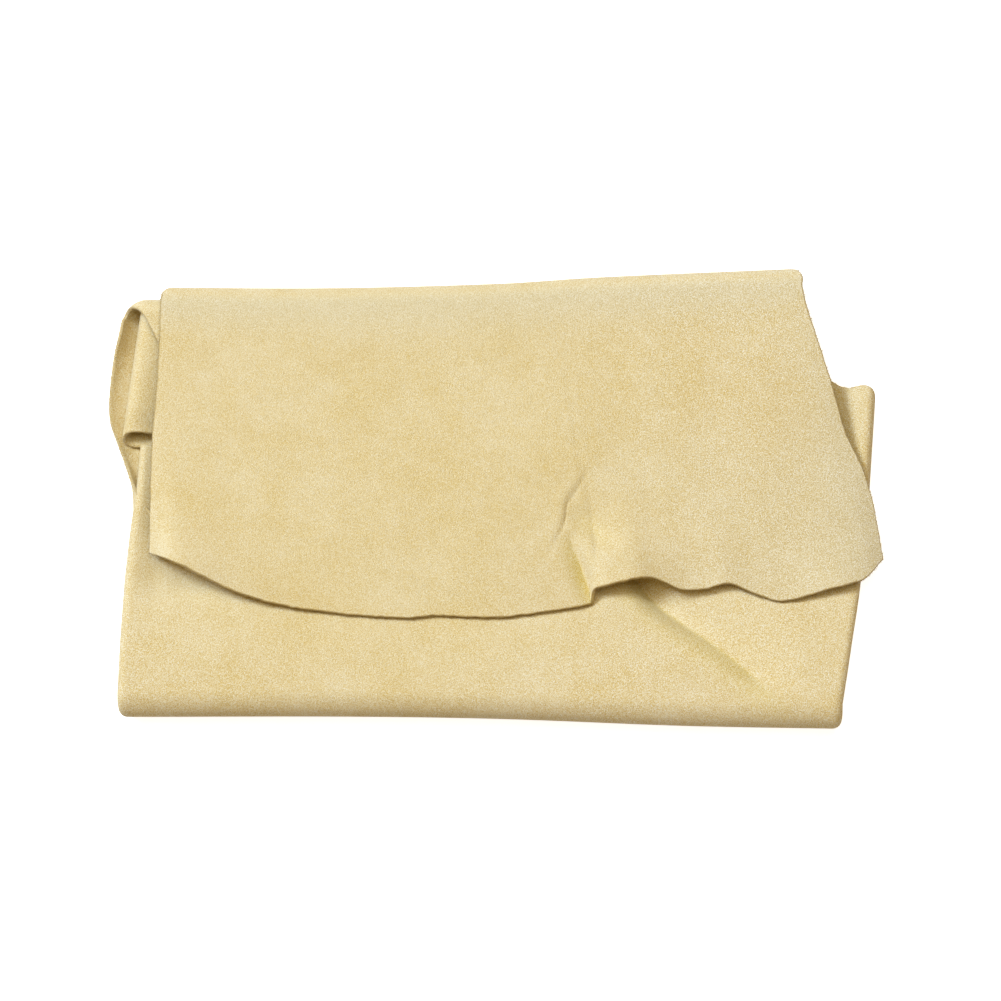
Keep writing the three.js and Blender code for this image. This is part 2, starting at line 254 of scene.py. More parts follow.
class NodeGraph:
    """Adds nodes to a tree and sets or links their inputs."""

    def __init__(self, tree: bpy.types.NodeTree) -> None:
        """Start from an empty tree."""
        self.tree = tree
        tree.nodes.clear()

    def add(self, kind: str, inputs: dict[str | int, Any] | None = None, **settings: Any) -> bpy.types.Node:
        """Add a node.

        Args:
            kind: Blender's name of the node type.
            inputs: Values or output sockets for its inputs, by name or place.
            settings: Values for the node's own properties.

        Returns:
            The new node.
        """
        node = self.tree.nodes.new(kind)
        for key, value in settings.items():
            setattr(node, key, value)
        for key, value in (inputs or {}).items():
            if isinstance(value, bpy.types.NodeSocket):
                self.tree.links.new(value, node.inputs[key])
            else:
                node.inputs[key].default_value = value
        return node


# The suede


def linear(colour: str) -> tuple[float, float, float, float]:
    """Turn an sRGB hex colour into the linear values that a node takes."""
    values = [int(colour[i:i + 2], 16) / 255 for i in (1, 3, 5)]
    return (*(c / 12.92 if c <= 0.04045 else ((c + 0.055) / 1.055) ** 2.4 for c in values), 1.0)


@dataclass(frozen=True)
class Suede:
    """Chamois: a split sheepskin without its grain side, tanned in oil and buffed to a short nap.

    The eye sees a dull warm buff with no highlight. Oil that took unevenly leaves faint blotches and the
    nap speckles it. A paler, greyer tint along folds and edges is painted sheen, a yellower tint on the
    shaded flanks of creases is painted shade, and the darker cut edges are painted shade.
    """

    deep: str = "#E3D09B"
    pale: str = "#E9DAB0"
    # Tints of painted light: a paler painted sheen, a yellower painted shade in creases and a darker painted
    # shade on cut edges
    painted_sheen: str = "#E3D9B9"
    painted_crease_shade: str = "#E4D28C"
    painted_rim_shade: str = "#A98D4C"
    # Blotches and the patches in them are as wide as in the photograph.
    blotch_mm: float = 26.0
    patch_mm: float = 9.0
    patch_share: float = 0.35
    # Fibres are about 0.02 mm thick, too fine to show, so the nap is drawn as coarser tufts.
    nap_mm: float = 0.36
    fibre_mm: float = 0.3
    fibre_share: float = 0.55
    nap_depth_mm: float = 0.36
    # A slant of the pattern, so that no flat stretch lies along the cells of the noise
    slant: tuple[float, float, float] = (0.6, 0.7, 0.35)
    # The nap lies pressed about this point on the flap and stands up towards the ends.
    pressed_mm: tuple[float, float, float] = (-45.0, 25.0, 15.0)
    pressed_reach_mm: tuple[float, float] = (60.0, 140.0)
    nap_contrast: tuple[float, float] = (0.5, 0.8)
    # Parts of the noise's range over which the oil's tone and the nap's height run from end to end
    oil_range: tuple[float, float] = (0.36, 0.64)
    nap_range: tuple[float, float] = (0.38, 0.62)
    # A nap scatters the light: it hardly shines, and has a faint bloom seen along the surface.
    roughness: float = 0.95
    shine: float = 0.12
    bloom: float = 0.3
    bloom_roughness: float = 0.45

    def build(self) -> bpy.types.Material:
        """Make the leather's material.

        Returns:
            The new material, whose nap shows as bumps and as flecks of colour.
        """
        material = bpy.data.materials.new("oil_tanned_chamois_buffed")
        material.use_nodes = True
        graph = NodeGraph(material.node_tree)
        place = graph.add("ShaderNodeTexCoord").outputs["Object"]
        slanted = graph.add("ShaderNodeMapping", {"Vector": place, "Rotation": self.slant}).outputs["Vector"]
        nap = graph.add(
            "ShaderNodeTexNoise",
            {"Vector": slanted, "Scale": 1.0 / (self.nap_mm * MM), "Detail": 2.0, "Roughness": 0.6},
        )
        fibre = graph.add(
            "ShaderNodeTexNoise",
            {"Vector": slanted, "Scale": 1.0 / (self.fibre_mm * MM), "Detail": 1.0, "Roughness": 0.5},
        )
        grain = graph.add(
            "ShaderNodeMath",
            {0: fibre.outputs["Fac"], 1: self.fibre_share, 2: nap.outputs["Fac"]},
            operation="MULTIPLY_ADD",
        )
        bump = graph.add(
            "ShaderNodeBump",
            {"Strength": 1.0, "Distance": self.nap_depth_mm * MM, "Height": grain.outputs["Value"]},
        )
        shader = graph.add(
            "ShaderNodeBsdfPrincipled",
            {
                "Base Color": self.colour(graph, place, nap.outputs["Fac"]),
                "Roughness": self.roughness,
                "Specular IOR Level": self.shine,
                "Sheen Weight": self.bloom,
                "Sheen Roughness": self.bloom_roughness,
                "Sheen Tint": WHITE,
                "Normal": bump.outputs["Normal"],
            },
        )
        graph.add("ShaderNodeOutputMaterial", {"Surface": shader.outputs["BSDF"]})
        return material

    def colour(
        self, graph: NodeGraph, place: bpy.types.NodeSocket, nap: bpy.types.NodeSocket
    ) -> bpy.types.NodeSocket:
        """Mix the colour of the leather.

        Args:
            graph: Graph to add to.
            place: Output with the place on the object.
            nap: Output with the height of the nap.

        Returns:
            The output with the colour.
        """
        blotch = graph.add(
            "ShaderNodeTexNoise",
            {"Vector": place, "Scale": 1.0 / (self.blotch_mm * MM), "Detail": 3.0, "Roughness": 0.6},
        )
        patch = graph.add(
            "ShaderNodeTexNoise",
            {"Vector": place, "Scale": 1.0 / (self.patch_mm * MM), "Detail": 2.0, "Roughness": 0.5},
        )
        tone = graph.add(
            "ShaderNodeMix",
            {
                MIX_SHARE: self.patch_share,
                MIX_NUMBER_A: blotch.outputs["Fac"],
                MIX_NUMBER_B: patch.outputs["Fac"],
            },
        )
        oil = graph.add(
            "ShaderNodeMapRange",
            {
                "Value": tone.outputs[MIX_NUMBER],
                "From Min": self.oil_range[0],
                "From Max": self.oil_range[1],
            },
        )
        ground = graph.add(
            "ShaderNodeMix",
            {
                MIX_SHARE: oil.outputs["Result"],
                MIX_COLOUR_A: linear(self.deep),
                MIX_COLOUR_B: linear(self.pale),
            },
            data_type="RGBA",
        )
        # Painted sheen: where the point attribute is above 0 the colour turns paler and greyer.
        painted_light_tint = graph.add("ShaderNodeAttribute", attribute_name="painted_light_tint")
        painted_sheen = graph.add(
            "ShaderNodeMix",
            {
                MIX_SHARE: painted_light_tint.outputs["Fac"],
                MIX_COLOUR_A: ground.outputs[MIX_COLOUR],
                MIX_COLOUR_B: linear(self.painted_sheen),
            },
            data_type="RGBA",
        )
        # Painted shade: where the point attribute is below 0 the colour turns yellower, as on the shaded
        # flank of a crease.
        shade_share = graph.add("ShaderNodeMath", {0: painted_light_tint.outputs["Fac"], 1: -1.0}, operation="MULTIPLY")
        painted_crease_shade = graph.add(
            "ShaderNodeMix",
            {
                MIX_SHARE: shade_share.outputs["Value"],
                MIX_COLOUR_A: painted_sheen.outputs[MIX_COLOUR],
                MIX_COLOUR_B: linear(self.painted_crease_shade),
            },
            data_type="RGBA",
        )
        # Low nap is darker and yellower and high nap paler, as a power of the colour makes it.
        low = graph.add(
            "ShaderNodeMapRange",
            {
                "Value": nap,
                "From Min": self.nap_range[0],
                "From Max": self.nap_range[1],
                "To Min": 1.0,
                "To Max": -1.0,
            },
        )
        apart = graph.add(
            "ShaderNodeVectorMath", {0: place, 1: Vector(self.pressed_mm) * MM}, operation="DISTANCE"
        )
        raised = graph.add(
            "ShaderNodeMapRange",
            {
                "Value": apart.outputs["Value"],
                "From Min": self.pressed_reach_mm[0] * MM,
                "From Max": self.pressed_reach_mm[1] * MM,
                "To Min": self.nap_contrast[0],
                "To Max": self.nap_contrast[1],
            },
        )
        power = graph.add(
            "ShaderNodeMath",
            {0: low.outputs["Result"], 1: raised.outputs["Result"], 2: 1.0},
            operation="MULTIPLY_ADD",
        )
        napped = graph.add(
            "ShaderNodeGamma", {"Color": painted_crease_shade.outputs[MIX_COLOUR], "Gamma": power.outputs["Value"]}
        )
        # Painted shade: the darker rim colour stands in for the shaded cut face and the shadow under it.
        rim = graph.add("ShaderNodeAttribute", attribute_name="rim")
        edged = graph.add(
            "ShaderNodeMix",
            {
                MIX_SHARE: rim.outputs["Fac"],
                MIX_COLOUR_A: napped.outputs["Color"],
                MIX_COLOUR_B: linear(self.painted_rim_shade),
            },
            data_type="RGBA",
        )
        return edged.outputs[MIX_COLOUR]


# The folded skin


@dataclass(frozen=True)
class Skin:
    """Sizes of the folded skin in millimetres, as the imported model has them."""

    thickness: float = 1.4
    ply_gap: float = 0.4
    top_height: float = 18.0
    corner_height: float = 15.4
    bottom_height: float = 17.0
    left_height: float = 9.6
    right_height: float = 7.6
    top_y: float = 88.0
    bottom_y: float = -87.0
    corner_y: float = 81.9
    seam_run: float = 4.0
    corner_run: float = 16.0
    seam_gap: float = 0.01
    top_bow: Curve = Curve((-131.5, -1.5), (-68, -1.8), (2, 0.1), (40, 2.7), (116, 6.2))
    bottom_bow: Curve = Curve((-143, 0.8), (-56, 0.9), (2, 0), (73, -2.7), (131, -3.8))

    @property
    def half(self) -> float:
        """Half of the leather's thickness."""
        return self.thickness / 2

    @property
    def ply_floor(self) -> float:
        """Height of the second ply's underside."""
        return self.thickness + self.ply_gap

    @property
    def corner_centre(self) -> float:
        """Place of the middle line of the corner's roll along Y."""
        return self.corner_y - self.corner_height / 2


SKIN = Skin()


class RolledFold:
    """A half roll of the skin from the floor round to the crest of the fold."""

    def __init__(self, height: float, outermost: Callable[[Grid], Grid], side: int) -> None:
        """Set the roll.

        Args:
            height: Height of the roll, outside to outside.
            outermost: Place of its outermost line along Y at each X.
            side: 1 where the roll faces away from the reader and -1 where it faces the reader.
        """
        self.radius = height / 2
        self.roll = self.radius - SKIN.half
        self.crest = self.radius + self.roll
        self.outermost = outermost
        self.side = side

    def centre(self, x: Grid) -> Grid:
        """Return the place of the roll's middle line along Y."""
        return self.outermost(x) - self.side * self.radius

    def rows(self, left: Curve, right: Curve, share: Grid, count: int) -> Grid:
        """Lay rows of points from a seam on the floor to just before the crest.

        Args:
            left: X of the left end at each angle, from -90 degrees on the floor to 90 at the crest.
            right: X of the right end at each angle.
            share: Shares of the way from left to right.
            count: Rows round the roll.

        Returns:
            The points, row by row.
        """
        run = np.arange(SKIN.seam_run, 0.0, -1.0)
        turn = np.linspace(-90.0, 90.0, count + 1)[:-1]
        angle = np.concatenate([np.full(len(run), -90.0), turn])[:, None]
        run = np.concatenate([run, np.zeros(count)])[:, None]
        x = mix(left(angle), right(angle), share)
        angle = np.radians(angle)
        y = self.centre(x) + self.side * (self.roll * np.cos(angle) - run)
        return points(x, y, self.radius + self.roll * np.sin(angle))


TOP_FOLD = RolledFold(SKIN.top_height, lambda x: SKIN.top_y + SKIN.top_bow(x), 1)
BOTTOM_FOLD = RolledFold(SKIN.bottom_height, lambda x: SKIN.bottom_y + SKIN.bottom_bow(x), -1)


@dataclass(frozen=True)
class PanelPlan:
    """Plan of a panel between its fold line, its far edge and its two sides.

    The fold line runs from near_left to near_right at the Y that near_y gives. The far edge runs
    between two corners, and the curves give the offsets of the far edge and of the sides.
    """

    near_left: float
    near_right: float
    near_y: Callable[[Grid], Grid]
    far_left: tuple[float, float]
    far_right: tuple[float, float]
    far_edge: Curve
    left_edge: Curve
    right_edge: Curve

    def __call__(self, u: Grid, v: Grid) -> tuple[Grid, Grid]:
        """Place points in plan.

        Args:
            u: Shares of the way from left to right.
            v: Shares of the way from the fold to the far edge.

        Returns:
            X and Y of the points.
        """
        near_x = mix(self.near_left, self.near_right, u)
        far_x = mix(self.far_left[0], self.far_right[0], u)
        chord = mix(self.near_y(self.near_left), self.near_y(self.near_right), u)
        far_y = mix(self.far_left[1], self.far_right[1], u)
        x = mix(near_x, far_x, v) + mix(self.left_edge(v), self.right_edge(v), u)
        y = mix(chord, far_y, v) + mix(self.near_y(near_x) - chord, self.far_edge(u), v)
        return x, y


@dataclass(frozen=True)
class CurledMargin:
    """A margin beside a sheet's edge that bends out of the sheet.

    Each value holds one number for each point of the edge: the length of the margin, the angle that
    it bends through in radians, and the length of the bent part, which comes first.
    """

    length: Grid
    turn: Grid
    arc: Grid
    count: int

    def beside(self, edge: Grid, inside: Grid, up: int) -> Grid:
        """Lay the margin's points.

        Args:
            edge: Points of the edge.
            inside: The points next to them on the sheet.
            up: 1 or -1, the side that the margin bends to.

        Returns:
            The points, from the edge outwards.
        """
        along = unit(np.gradient(edge, axis=0))
        out = edge - inside
        out = unit(out - along * np.sum(out * along, -1, keepdims=True))
        rise = unit(np.cross(out, along)) * up
        run = self.length[:, None] * np.linspace(0.0, 1.0, self.count + 1)[1:]
        bent = np.minimum(run, self.arc[:, None])
        radius = (self.arc / self.turn)[:, None]
        straight = run - bent
        across = radius * np.sin(bent / radius) + straight * np.cos(self.turn)[:, None]
        height = radius * (1.0 - np.cos(bent / radius)) + straight * np.sin(self.turn)[:, None]
        return edge[:, None] + out[:, None] * across[..., None] + rise[:, None] * height[..., None]


class SheetMesh:
    """A closed mesh round the middle surface of a sheet, with rounded rims."""

    RIM_STEPS = 6
    RIM_POWER = 0.55

    def __init__(
        self, middle: Grid, painted_light_tint: Grid, seams: tuple[Edge, ...], raw: tuple[Edge, ...], rim_shade_share: float
    ) -> None:
        """Keep the surface.

        Args:
            middle: Points of the middle surface, rows by columns.
            painted_light_tint: Painted light at each point, from -1 for painted shade in creases to 1 for
                painted sheen.
            seams: Edges that butt against the next sheet and are cut square.
            raw: Edges that show as cut edges with loose fibres.
            rim_shade_share: Share of the painted shade colour on the rim, which darkens the cut edges.
        """
        self.rim_shade_share = rim_shade_share
        self.middle = middle
        self.painted_light_tint = painted_light_tint
        self.seams = seams
        self.raw = raw
        self.along = np.gradient(middle, axis=1)
        self.across = np.gradient(middle, axis=0)
        self.normal = unit(np.cross(self.along, self.across))

    def area(self) -> float:
        """Measure the middle surface.

        Returns:
            Its area in square metres.
        """
        down = np.diff(self.middle, axis=0)
        over = np.diff(self.middle, axis=1)
        first = np.cross(over[:-1], down[:, :-1])
        second = np.cross(over[1:], down[:, 1:])
        halves = np.linalg.norm(first, axis=-1) + np.linalg.norm(second, axis=-1)
        return float(halves.sum() / 2 * MM**2)

    def flat(self) -> tuple[float, float]:
        """Measure the sheet as it would lie flat.

        Returns:
            The greatest width and length along the surface in metres.
        """
        width = np.linalg.norm(np.diff(self.middle, axis=1), axis=-1).sum(axis=1).max()
        length = np.linalg.norm(np.diff(self.middle, axis=0), axis=-1).sum(axis=0).max()
        return float(width * MM), float(length * MM)

    def loop(self) -> tuple[Grid, Grid]:
        """Go round the edge of the grid.

        Returns:
            The rows and the columns of its points, in order.
        """
        rows, columns, _ = self.middle.shape
        first = [(0, c) for c in range(columns)]
        right = [(r, columns - 1) for r in range(1, rows)]
        last = [(rows - 1, c) for c in range(columns - 2, -1, -1)]
        left = [(r, 0) for r in range(rows - 2, 0, -1)]
        return tuple(np.array(first + right + last + left).T)

    def on(self, edges: tuple[Edge, ...]) -> Grid:
        """Find the points on some of the edges.

        Args:
            edges: Edges to look at.

        Returns:
            True for each point of the grid that lies on any of them.
        """
        marked = np.zeros(self.middle.shape[:2], bool)
        marked[0] |= Edge.FIRST_ROW in edges
        marked[-1] |= Edge.LAST_ROW in edges
        marked[:, 0] |= Edge.FIRST_COLUMN in edges
        marked[:, -1] |= Edge.LAST_COLUMN in edges
        return marked

    def rings(self, at: tuple[Grid, Grid]) -> list[Grid]:
        """Round the rim off between the two sides of the sheet.

        Args:
            at: Rows and columns of the points round the edge.

        Returns:
            The rings of points round the rim, from the upper side to the lower side.
        """
        outward = np.zeros_like(self.middle)
        outward[0] -= unit(self.across[0]) * (Edge.FIRST_ROW not in self.seams)
        outward[-1] += unit(self.across[-1]) * (Edge.LAST_ROW not in self.seams)
        outward[:, 0] -= unit(self.along[:, 0]) * (Edge.FIRST_COLUMN not in self.seams)
        outward[:, -1] += unit(self.along[:, -1]) * (Edge.LAST_COLUMN not in self.seams)
        normal = self.normal[at]
        out = outward[at]
        out = unit(out - normal * np.sum(out * normal, -1, keepdims=True))
        rings = []
        for step in range(1, self.RIM_STEPS):
            angle = math.pi * step / self.RIM_STEPS
            up = math.copysign(abs(math.cos(angle)) ** self.RIM_POWER, math.cos(angle))
            offset = normal * up + out * math.sin(angle) ** self.RIM_POWER
            rings.append(self.middle[at] + SKIN.half * offset)
        return rings

    def build(self, name: str, material: bpy.types.Material) -> bpy.types.Object:
        """Make the mesh object in metres.

        Args:
            name: Name of the object.
            material: Material of the whole sheet.

        Returns:
            The new object, linked to the scene, with its rim and its raw edges marked.
        """
        at = self.loop()
        rings = self.rings(at)
        upper = np.arange(self.middle[..., 0].size).reshape(self.middle.shape[:2])
        lower = upper + upper.size
        around = np.arange(len(at[0]))
        chain = [upper[at]]
        chain += [2 * upper.size + k * len(around) + around for k in range(len(rings))]
        chain += [lower[at]]
        sides = [self.middle + self.normal * SKIN.half, self.middle - self.normal * SKIN.half]
        places = np.concatenate([side.reshape(-1, 3) for side in sides] + rings) * MM
        top = np.stack([upper[:-1, :-1], upper[:-1, 1:], upper[1:, 1:], upper[1:, :-1]], -1)
        bottom = np.stack([lower[1:, :-1], lower[1:, 1:], lower[:-1, 1:], lower[:-1, :-1]], -1)
        faces = [top.reshape(-1, 4), bottom.reshape(-1, 4)]
        for a, b in zip(chain, chain[1:]):
            faces.append(np.stack([b, np.roll(b, -1), np.roll(a, -1), a], -1))
        mesh = bpy.data.meshes.new(name)
        mesh.from_pydata(places.tolist(), [], np.concatenate(faces).tolist())
        mesh.polygons.foreach_set("use_smooth", np.ones(len(mesh.polygons), bool))
        seam = self.on(self.seams)
        self.mark(mesh, "rim", chain, self.rim_shade_share * ~seam[at])
        self.mark(mesh, "raw", chain, self.on(self.raw)[at])
        # Painted sheen and painted shade go to the material as a point attribute.
        painted_light_tint = np.concatenate([self.painted_light_tint.ravel(), self.painted_light_tint.ravel(), np.tile(self.painted_light_tint[at], len(rings))])
        mesh.attributes.new("painted_light_tint", "FLOAT", "POINT").data.foreach_set("value", painted_light_tint.astype(np.float32))
        square = np.zeros(len(places), bool)
        cut = seam | self.on(self.raw)
        square[upper[cut]] = True
        square[lower[cut]] = True
        ends = np.zeros(2 * len(mesh.edges), np.int32)
        mesh.edges.foreach_get("vertices", ends)
        mesh.edges.foreach_set("use_edge_sharp", square[ends.reshape(-1, 2)].all(axis=1))
        mesh.materials.append(material)
        piece = bpy.data.objects.new(name, mesh)
        bpy.context.scene.collection.objects.link(piece)
        return piece

    @staticmethod
    def mark(mesh: bpy.types.Mesh, name: str, chain: list[Grid], around: Grid) -> None:
        """Give the mesh an attribute with values round the rim and 0 elsewhere.

        Args:
            mesh: Mesh of the sheet.
            name: Name of the attribute.
            chain: Numbers of the points in each ring, the edges of both sides included.
            around: Values round the rim.
        """
        values = np.zeros(len(mesh.vertices), np.float32)
        for ring in chain[1:-1]:
            values[ring] = around
        mesh.attributes.new(name, "FLOAT", "POINT").data.foreach_set("value", values)


@dataclass(frozen=True)
class Fringe:
    """Loose fibres that stand out of a raw edge, made with a tree of geometry nodes.

    Sizes are in millimetres and the lean is in radians.
    """

    per_square_mm: float = 2.2
    radius: float = 0.08
    shortest: float = 0.35
    longest: float = 1.3
    sides: int = 3
    lean: float = 0.9
    seed: int = 7
    # Faces whose mark is above this level carry fibres.
    raw_level: float = 0.7

    def build(self, name: str, sheet: bpy.types.Object, material: bpy.types.Material) -> bpy.types.Object:
        """Grow fibres on the raw edges of a sheet.

        Args:
            name: Name of the new piece.
            sheet: The sheet, with its raw edges marked.
            material: Material of the fibres.

        Returns:
            The fibres as one plain mesh object.
        """
        piece = bpy.data.objects.new(name, sheet.data.copy())
        bpy.context.scene.collection.objects.link(piece)
        tree, inputs = self.tree(material)
        modifier = piece.modifiers.new("fringe", "NODES")
        modifier.node_group = tree
        values = {
            "Density": self.per_square_mm / MM**2,
            "Radius": self.radius * MM,
            "Shortest": self.shortest * MM,
            "Longest": self.longest * MM,
        }
        for label, value in values.items():
            modifier[inputs[label]] = value
        ready = piece.evaluated_get(bpy.context.evaluated_depsgraph_get())
        grown = bpy.data.meshes.new_from_object(ready)
        grown.name = name
        piece.modifiers.remove(modifier)
        piece.data = grown
        return piece

    def tree(self, material: bpy.types.Material) -> tuple[bpy.types.NodeTree, dict[str, str]]:
        """Make the tree of nodes.

        Args:
            material: Material of the fibres.

        Returns:
            The tree, and the identifier of each of its named inputs.
        """
        tree = bpy.data.node_groups.new("fringe", "GeometryNodeTree")
        face = tree.interface
        face.new_socket("Geometry", in_out="INPUT", socket_type="NodeSocketGeometry")
        inputs = {}
        for label in ("Density", "Radius", "Shortest", "Longest"):
            socket = face.new_socket(label, in_out="INPUT", socket_type="NodeSocketFloat")
            inputs[label] = socket.identifier
        face.new_socket("Geometry", in_out="OUTPUT", socket_type="NodeSocketGeometry")
        graph = NodeGraph(tree)
        given = graph.add("NodeGroupInput").outputs
        spots = self.spots(graph, given)
        cone = graph.add(
            "GeometryNodeMeshCone",
            {
                "Vertices": self.sides,
                "Radius Top": 0.0,
                "Radius Bottom": given["Radius"],
                "Depth": given["Longest"],
            },
            fill_type="NGON",
        )
        fibres = graph.add(
            "GeometryNodeInstanceOnPoints",
            {
                "Points": spots.outputs["Points"],
                "Instance": cone.outputs["Mesh"],
                "Rotation": self.turned(graph, spots),
                "Scale": self.size(graph, given),
            },
        )
        real = graph.add("GeometryNodeRealizeInstances", {"Geometry": fibres.outputs["Instances"]})
        dressed = graph.add(
            "GeometryNodeSetMaterial", {"Geometry": real.outputs["Geometry"], "Material": material}
        )
        graph.add("NodeGroupOutput", {"Geometry": dressed.outputs["Geometry"]})
        return tree, inputs

    def spots(self, graph: NodeGraph, given: Any) -> bpy.types.Node:
        """Spread points over the raw edges.

        Args:
            graph: Graph to add to.
            given: Outputs with the tree's inputs.

        Returns:
            The node with the points.
        """
        raw = graph.add("GeometryNodeInputNamedAttribute", {"Name": "raw"}, data_type="FLOAT")
        chosen = graph.add(
            "FunctionNodeCompare",
            {"A": raw.outputs["Attribute"], "B": self.raw_level},
            data_type="FLOAT",
            operation="GREATER_THAN",
        )
        return graph.add(
            "GeometryNodeDistributePointsOnFaces",
            {
                "Mesh": given["Geometry"],
                "Selection": chosen.outputs["Result"],
                "Density": given["Density"],
                "Seed": self.seed,
            },
            distribute_method="RANDOM",
        )

    def turned(self, graph: NodeGraph, spots: bpy.types.Node) -> bpy.types.NodeSocket:
        """Turn the fibres at random away from the surface's normal.

        Args:
            graph: Graph to add to.
            spots: The node with the points.

        Returns:
            The output with the turns.
        """
        lean = graph.add(
            "FunctionNodeRandomValue",
            {0: (-self.lean, -self.lean, 0.0), 1: (self.lean, self.lean, math.tau), "Seed": self.seed + 1},
            data_type="FLOAT_VECTOR",
        )
        turned = graph.add(
            "FunctionNodeRotateRotation",
            {"Rotation": spots.outputs["Rotation"], "Rotate By": lean.outputs["Value"]},
            rotation_space="LOCAL",
        )
        return turned.outputs["Rotation"]

    def size(self, graph: NodeGraph, given: Any) -> bpy.types.NodeSocket:
        """Draw random sizes from the shortest to the longest fibre.

        Args:
            graph: Graph to add to.
            given: Outputs with the tree's inputs.

        Returns:
            The output with the sizes, as shares of the longest.
        """
        least = graph.add("ShaderNodeMath", {0: given["Shortest"], 1: given["Longest"]}, operation="DIVIDE")
        size = graph.add(
            "FunctionNodeRandomValue",
            {2: least.outputs["Value"], 3: 1.0, "Seed": self.seed + 2},
            data_type="FLOAT",
        )
        return size.outputs[1]


# Thicker tufts, where several fibres hang together
TUFTS = Fringe(per_square_mm=0.22, radius=0.2, shortest=0.45, longest=1.1, sides=5, seed=19)


@dataclass(frozen=True)
class SkinSheet:
    """One stretch of the skin between fold lines."""

    name: str = ""
    node: str = ""
    rests_on: tuple[str, ...] = ()
    seams: tuple[Edge, ...] = ()
    raw: tuple[Edge, ...] = ()
    # Share of painted shade that darkens the sheet's cut edges
    rim_shade_share: float = 0.3

    def middle(self) -> Grid:
        """Return the middle surface, rows by columns, in millimetres."""
        raise NotImplementedError

    def painted_light_tint(self, middle: Grid) -> Grid:
        """Return the painted light of the middle surface: 1 for painted sheen and -1 for painted shade in
        creases.
        """
        return np.zeros(middle.shape[:2])

    def attach(self, piece: bpy.types.Object) -> None:
        """Attach the piece to its body, or bake its transform into its mesh."""
        raise NotImplementedError

    def build(self, material: bpy.types.Material) -> None:
        """Args:
            material: Material of the leather.
        """
        middle = self.middle()
        shape = SheetMesh(middle, self.painted_light_tint(middle), self.seams, self.raw, self.rim_shade_share)
        piece = shape.build(self.name, material)
        growths = {"fringe": Fringe(), "tufts": TUFTS} if self.raw else {}
        fringes = [grown.build(f"{self.name}_{word}", piece, material) for word, grown in growths.items()]
        for part in [piece, *fringes]:
            self.attach(part)
            LOG.info("%s: %d faces", part.name, len(part.data.polygons))
        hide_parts(self.node)
        flat = shape.flat()
        area = min(shape.area(), flat[0] * flat[1])
        LOG.info("%s: cut %.0f by %.0f mm, %.4f m2", self.name, flat[0] / MM, flat[1] / MM, area)


@dataclass(frozen=True)
class BackSheet(SkinSheet):
    """The ply on the floor, whose left margin is hemmed at the bottom and opens into a leaf above."""

    name: str = "chamois_back"
    node: str = "back_panel"
    seams: tuple[Edge, ...] = (Edge.FIRST_ROW, Edge.LAST_ROW)
    raw: tuple[Edge, ...] = (Edge.FIRST_COLUMN,)
    rows: int = 150
    columns: int = 60
    margin_columns: int = 24
    low_inset: float = 13.0
    high_inset: float = 14.0
    left_x: float = -138.5
    # Length, turn in radians and bent length of each margin, by the place along Y
    left_length: Curve = Curve(
        (-80, 14), (-10, 14), (0, 9), (8, 6.5), (16, 7.8), (24, 10.7), (32, 13.6), (41, 14.4), (58, 13.7),
        (67, 13.1), (74, 11.8),
    )
    left_turn: Curve = Curve(
        (-80, 3.14), (-10, 3.14), (0, 2.5), (8, 1.5), (16, 0.9), (24, 0.7), (41, 0.65), (58, 0.85),
        (67, 1.15), (74, 1.15),
    )
    left_arc: Curve = Curve(
        (-80, 7.9), (-10, 7.9), (0, 7.2), (8, 6.0), (16, 7.8), (24, 10.7), (32, 13.6), (41, 14.4),
        (58, 13.7), (67, 13.1), (74, 11.8),
    )
    right_x: Curve = Curve(
        (-78, 128), (-62, 131.7), (-42, 135.5), (-22, 138.4), (-4, 139.9), (4, 138.7), (18, 139.7),
        (32, 140.5), (36, 138), (39, 131), (42.5, 121), (50, 118), (74, 114),
    )
    right_length: Curve = Curve((-80, 13), (-14, 13), (-4, 5), (4, 4), (80, 4))
    right_turn: Curve = Curve((-80, 3.14), (-14, 3.14), (-4, 1.0), (3, 0.05), (80, 0.05))
    right_arc: Curve = Curve((-80, 7.9), (-14, 7.9), (-4, 5), (4, 4), (80, 4))
    corner_x: float = -133.0
    corner_step: float = 5.0

    def middle(self) -> Grid:
        """Lay the flat ply with its two curled margins.

        Returns:
            Its points, rows by columns, in millimetres.
        """
        share = np.linspace(0.0, 1.0, self.columns)[None, :]
        v = np.linspace(0.0, 1.0, self.rows)[:, None]
        level = mix(SKIN.bottom_y + self.low_inset, SKIN.top_y - self.high_inset, v)
        x = mix(self.left_x, self.right_x(level), share)
        low = BOTTOM_FOLD.centre(x) + SKIN.seam_run
        at_corner = np.full(x.shape, SKIN.corner_centre - SKIN.corner_run)
        at_flap = TOP_FOLD.centre(x) - SKIN.seam_run
        high = mix(at_corner, at_flap, ease((x - self.corner_x) / self.corner_step))
        y = mix(low + SKIN.seam_gap, high - SKIN.seam_gap, v)
        main = points(x, y, np.full(y.shape, SKIN.half))
        y = main[:, 0, 1]
        count = self.margin_columns
        left = CurledMargin(self.left_length(y), self.left_turn(y), self.left_arc(y), count)
        y = main[:, -1, 1]
        right = CurledMargin(self.right_length(y), self.right_turn(y), self.right_arc(y), count)
        left_points = left.beside(main[:, 0], main[:, 1], -1)
        right_points = right.beside(main[:, -1], main[:, -2], 1)
        return np.concatenate([left_points[:, ::-1], main, right_points], axis=1)

    def attach(self, piece: bpy.types.Object) -> None:
        """Keep the ply on the floor."""
        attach(piece, Body.BACK.value)


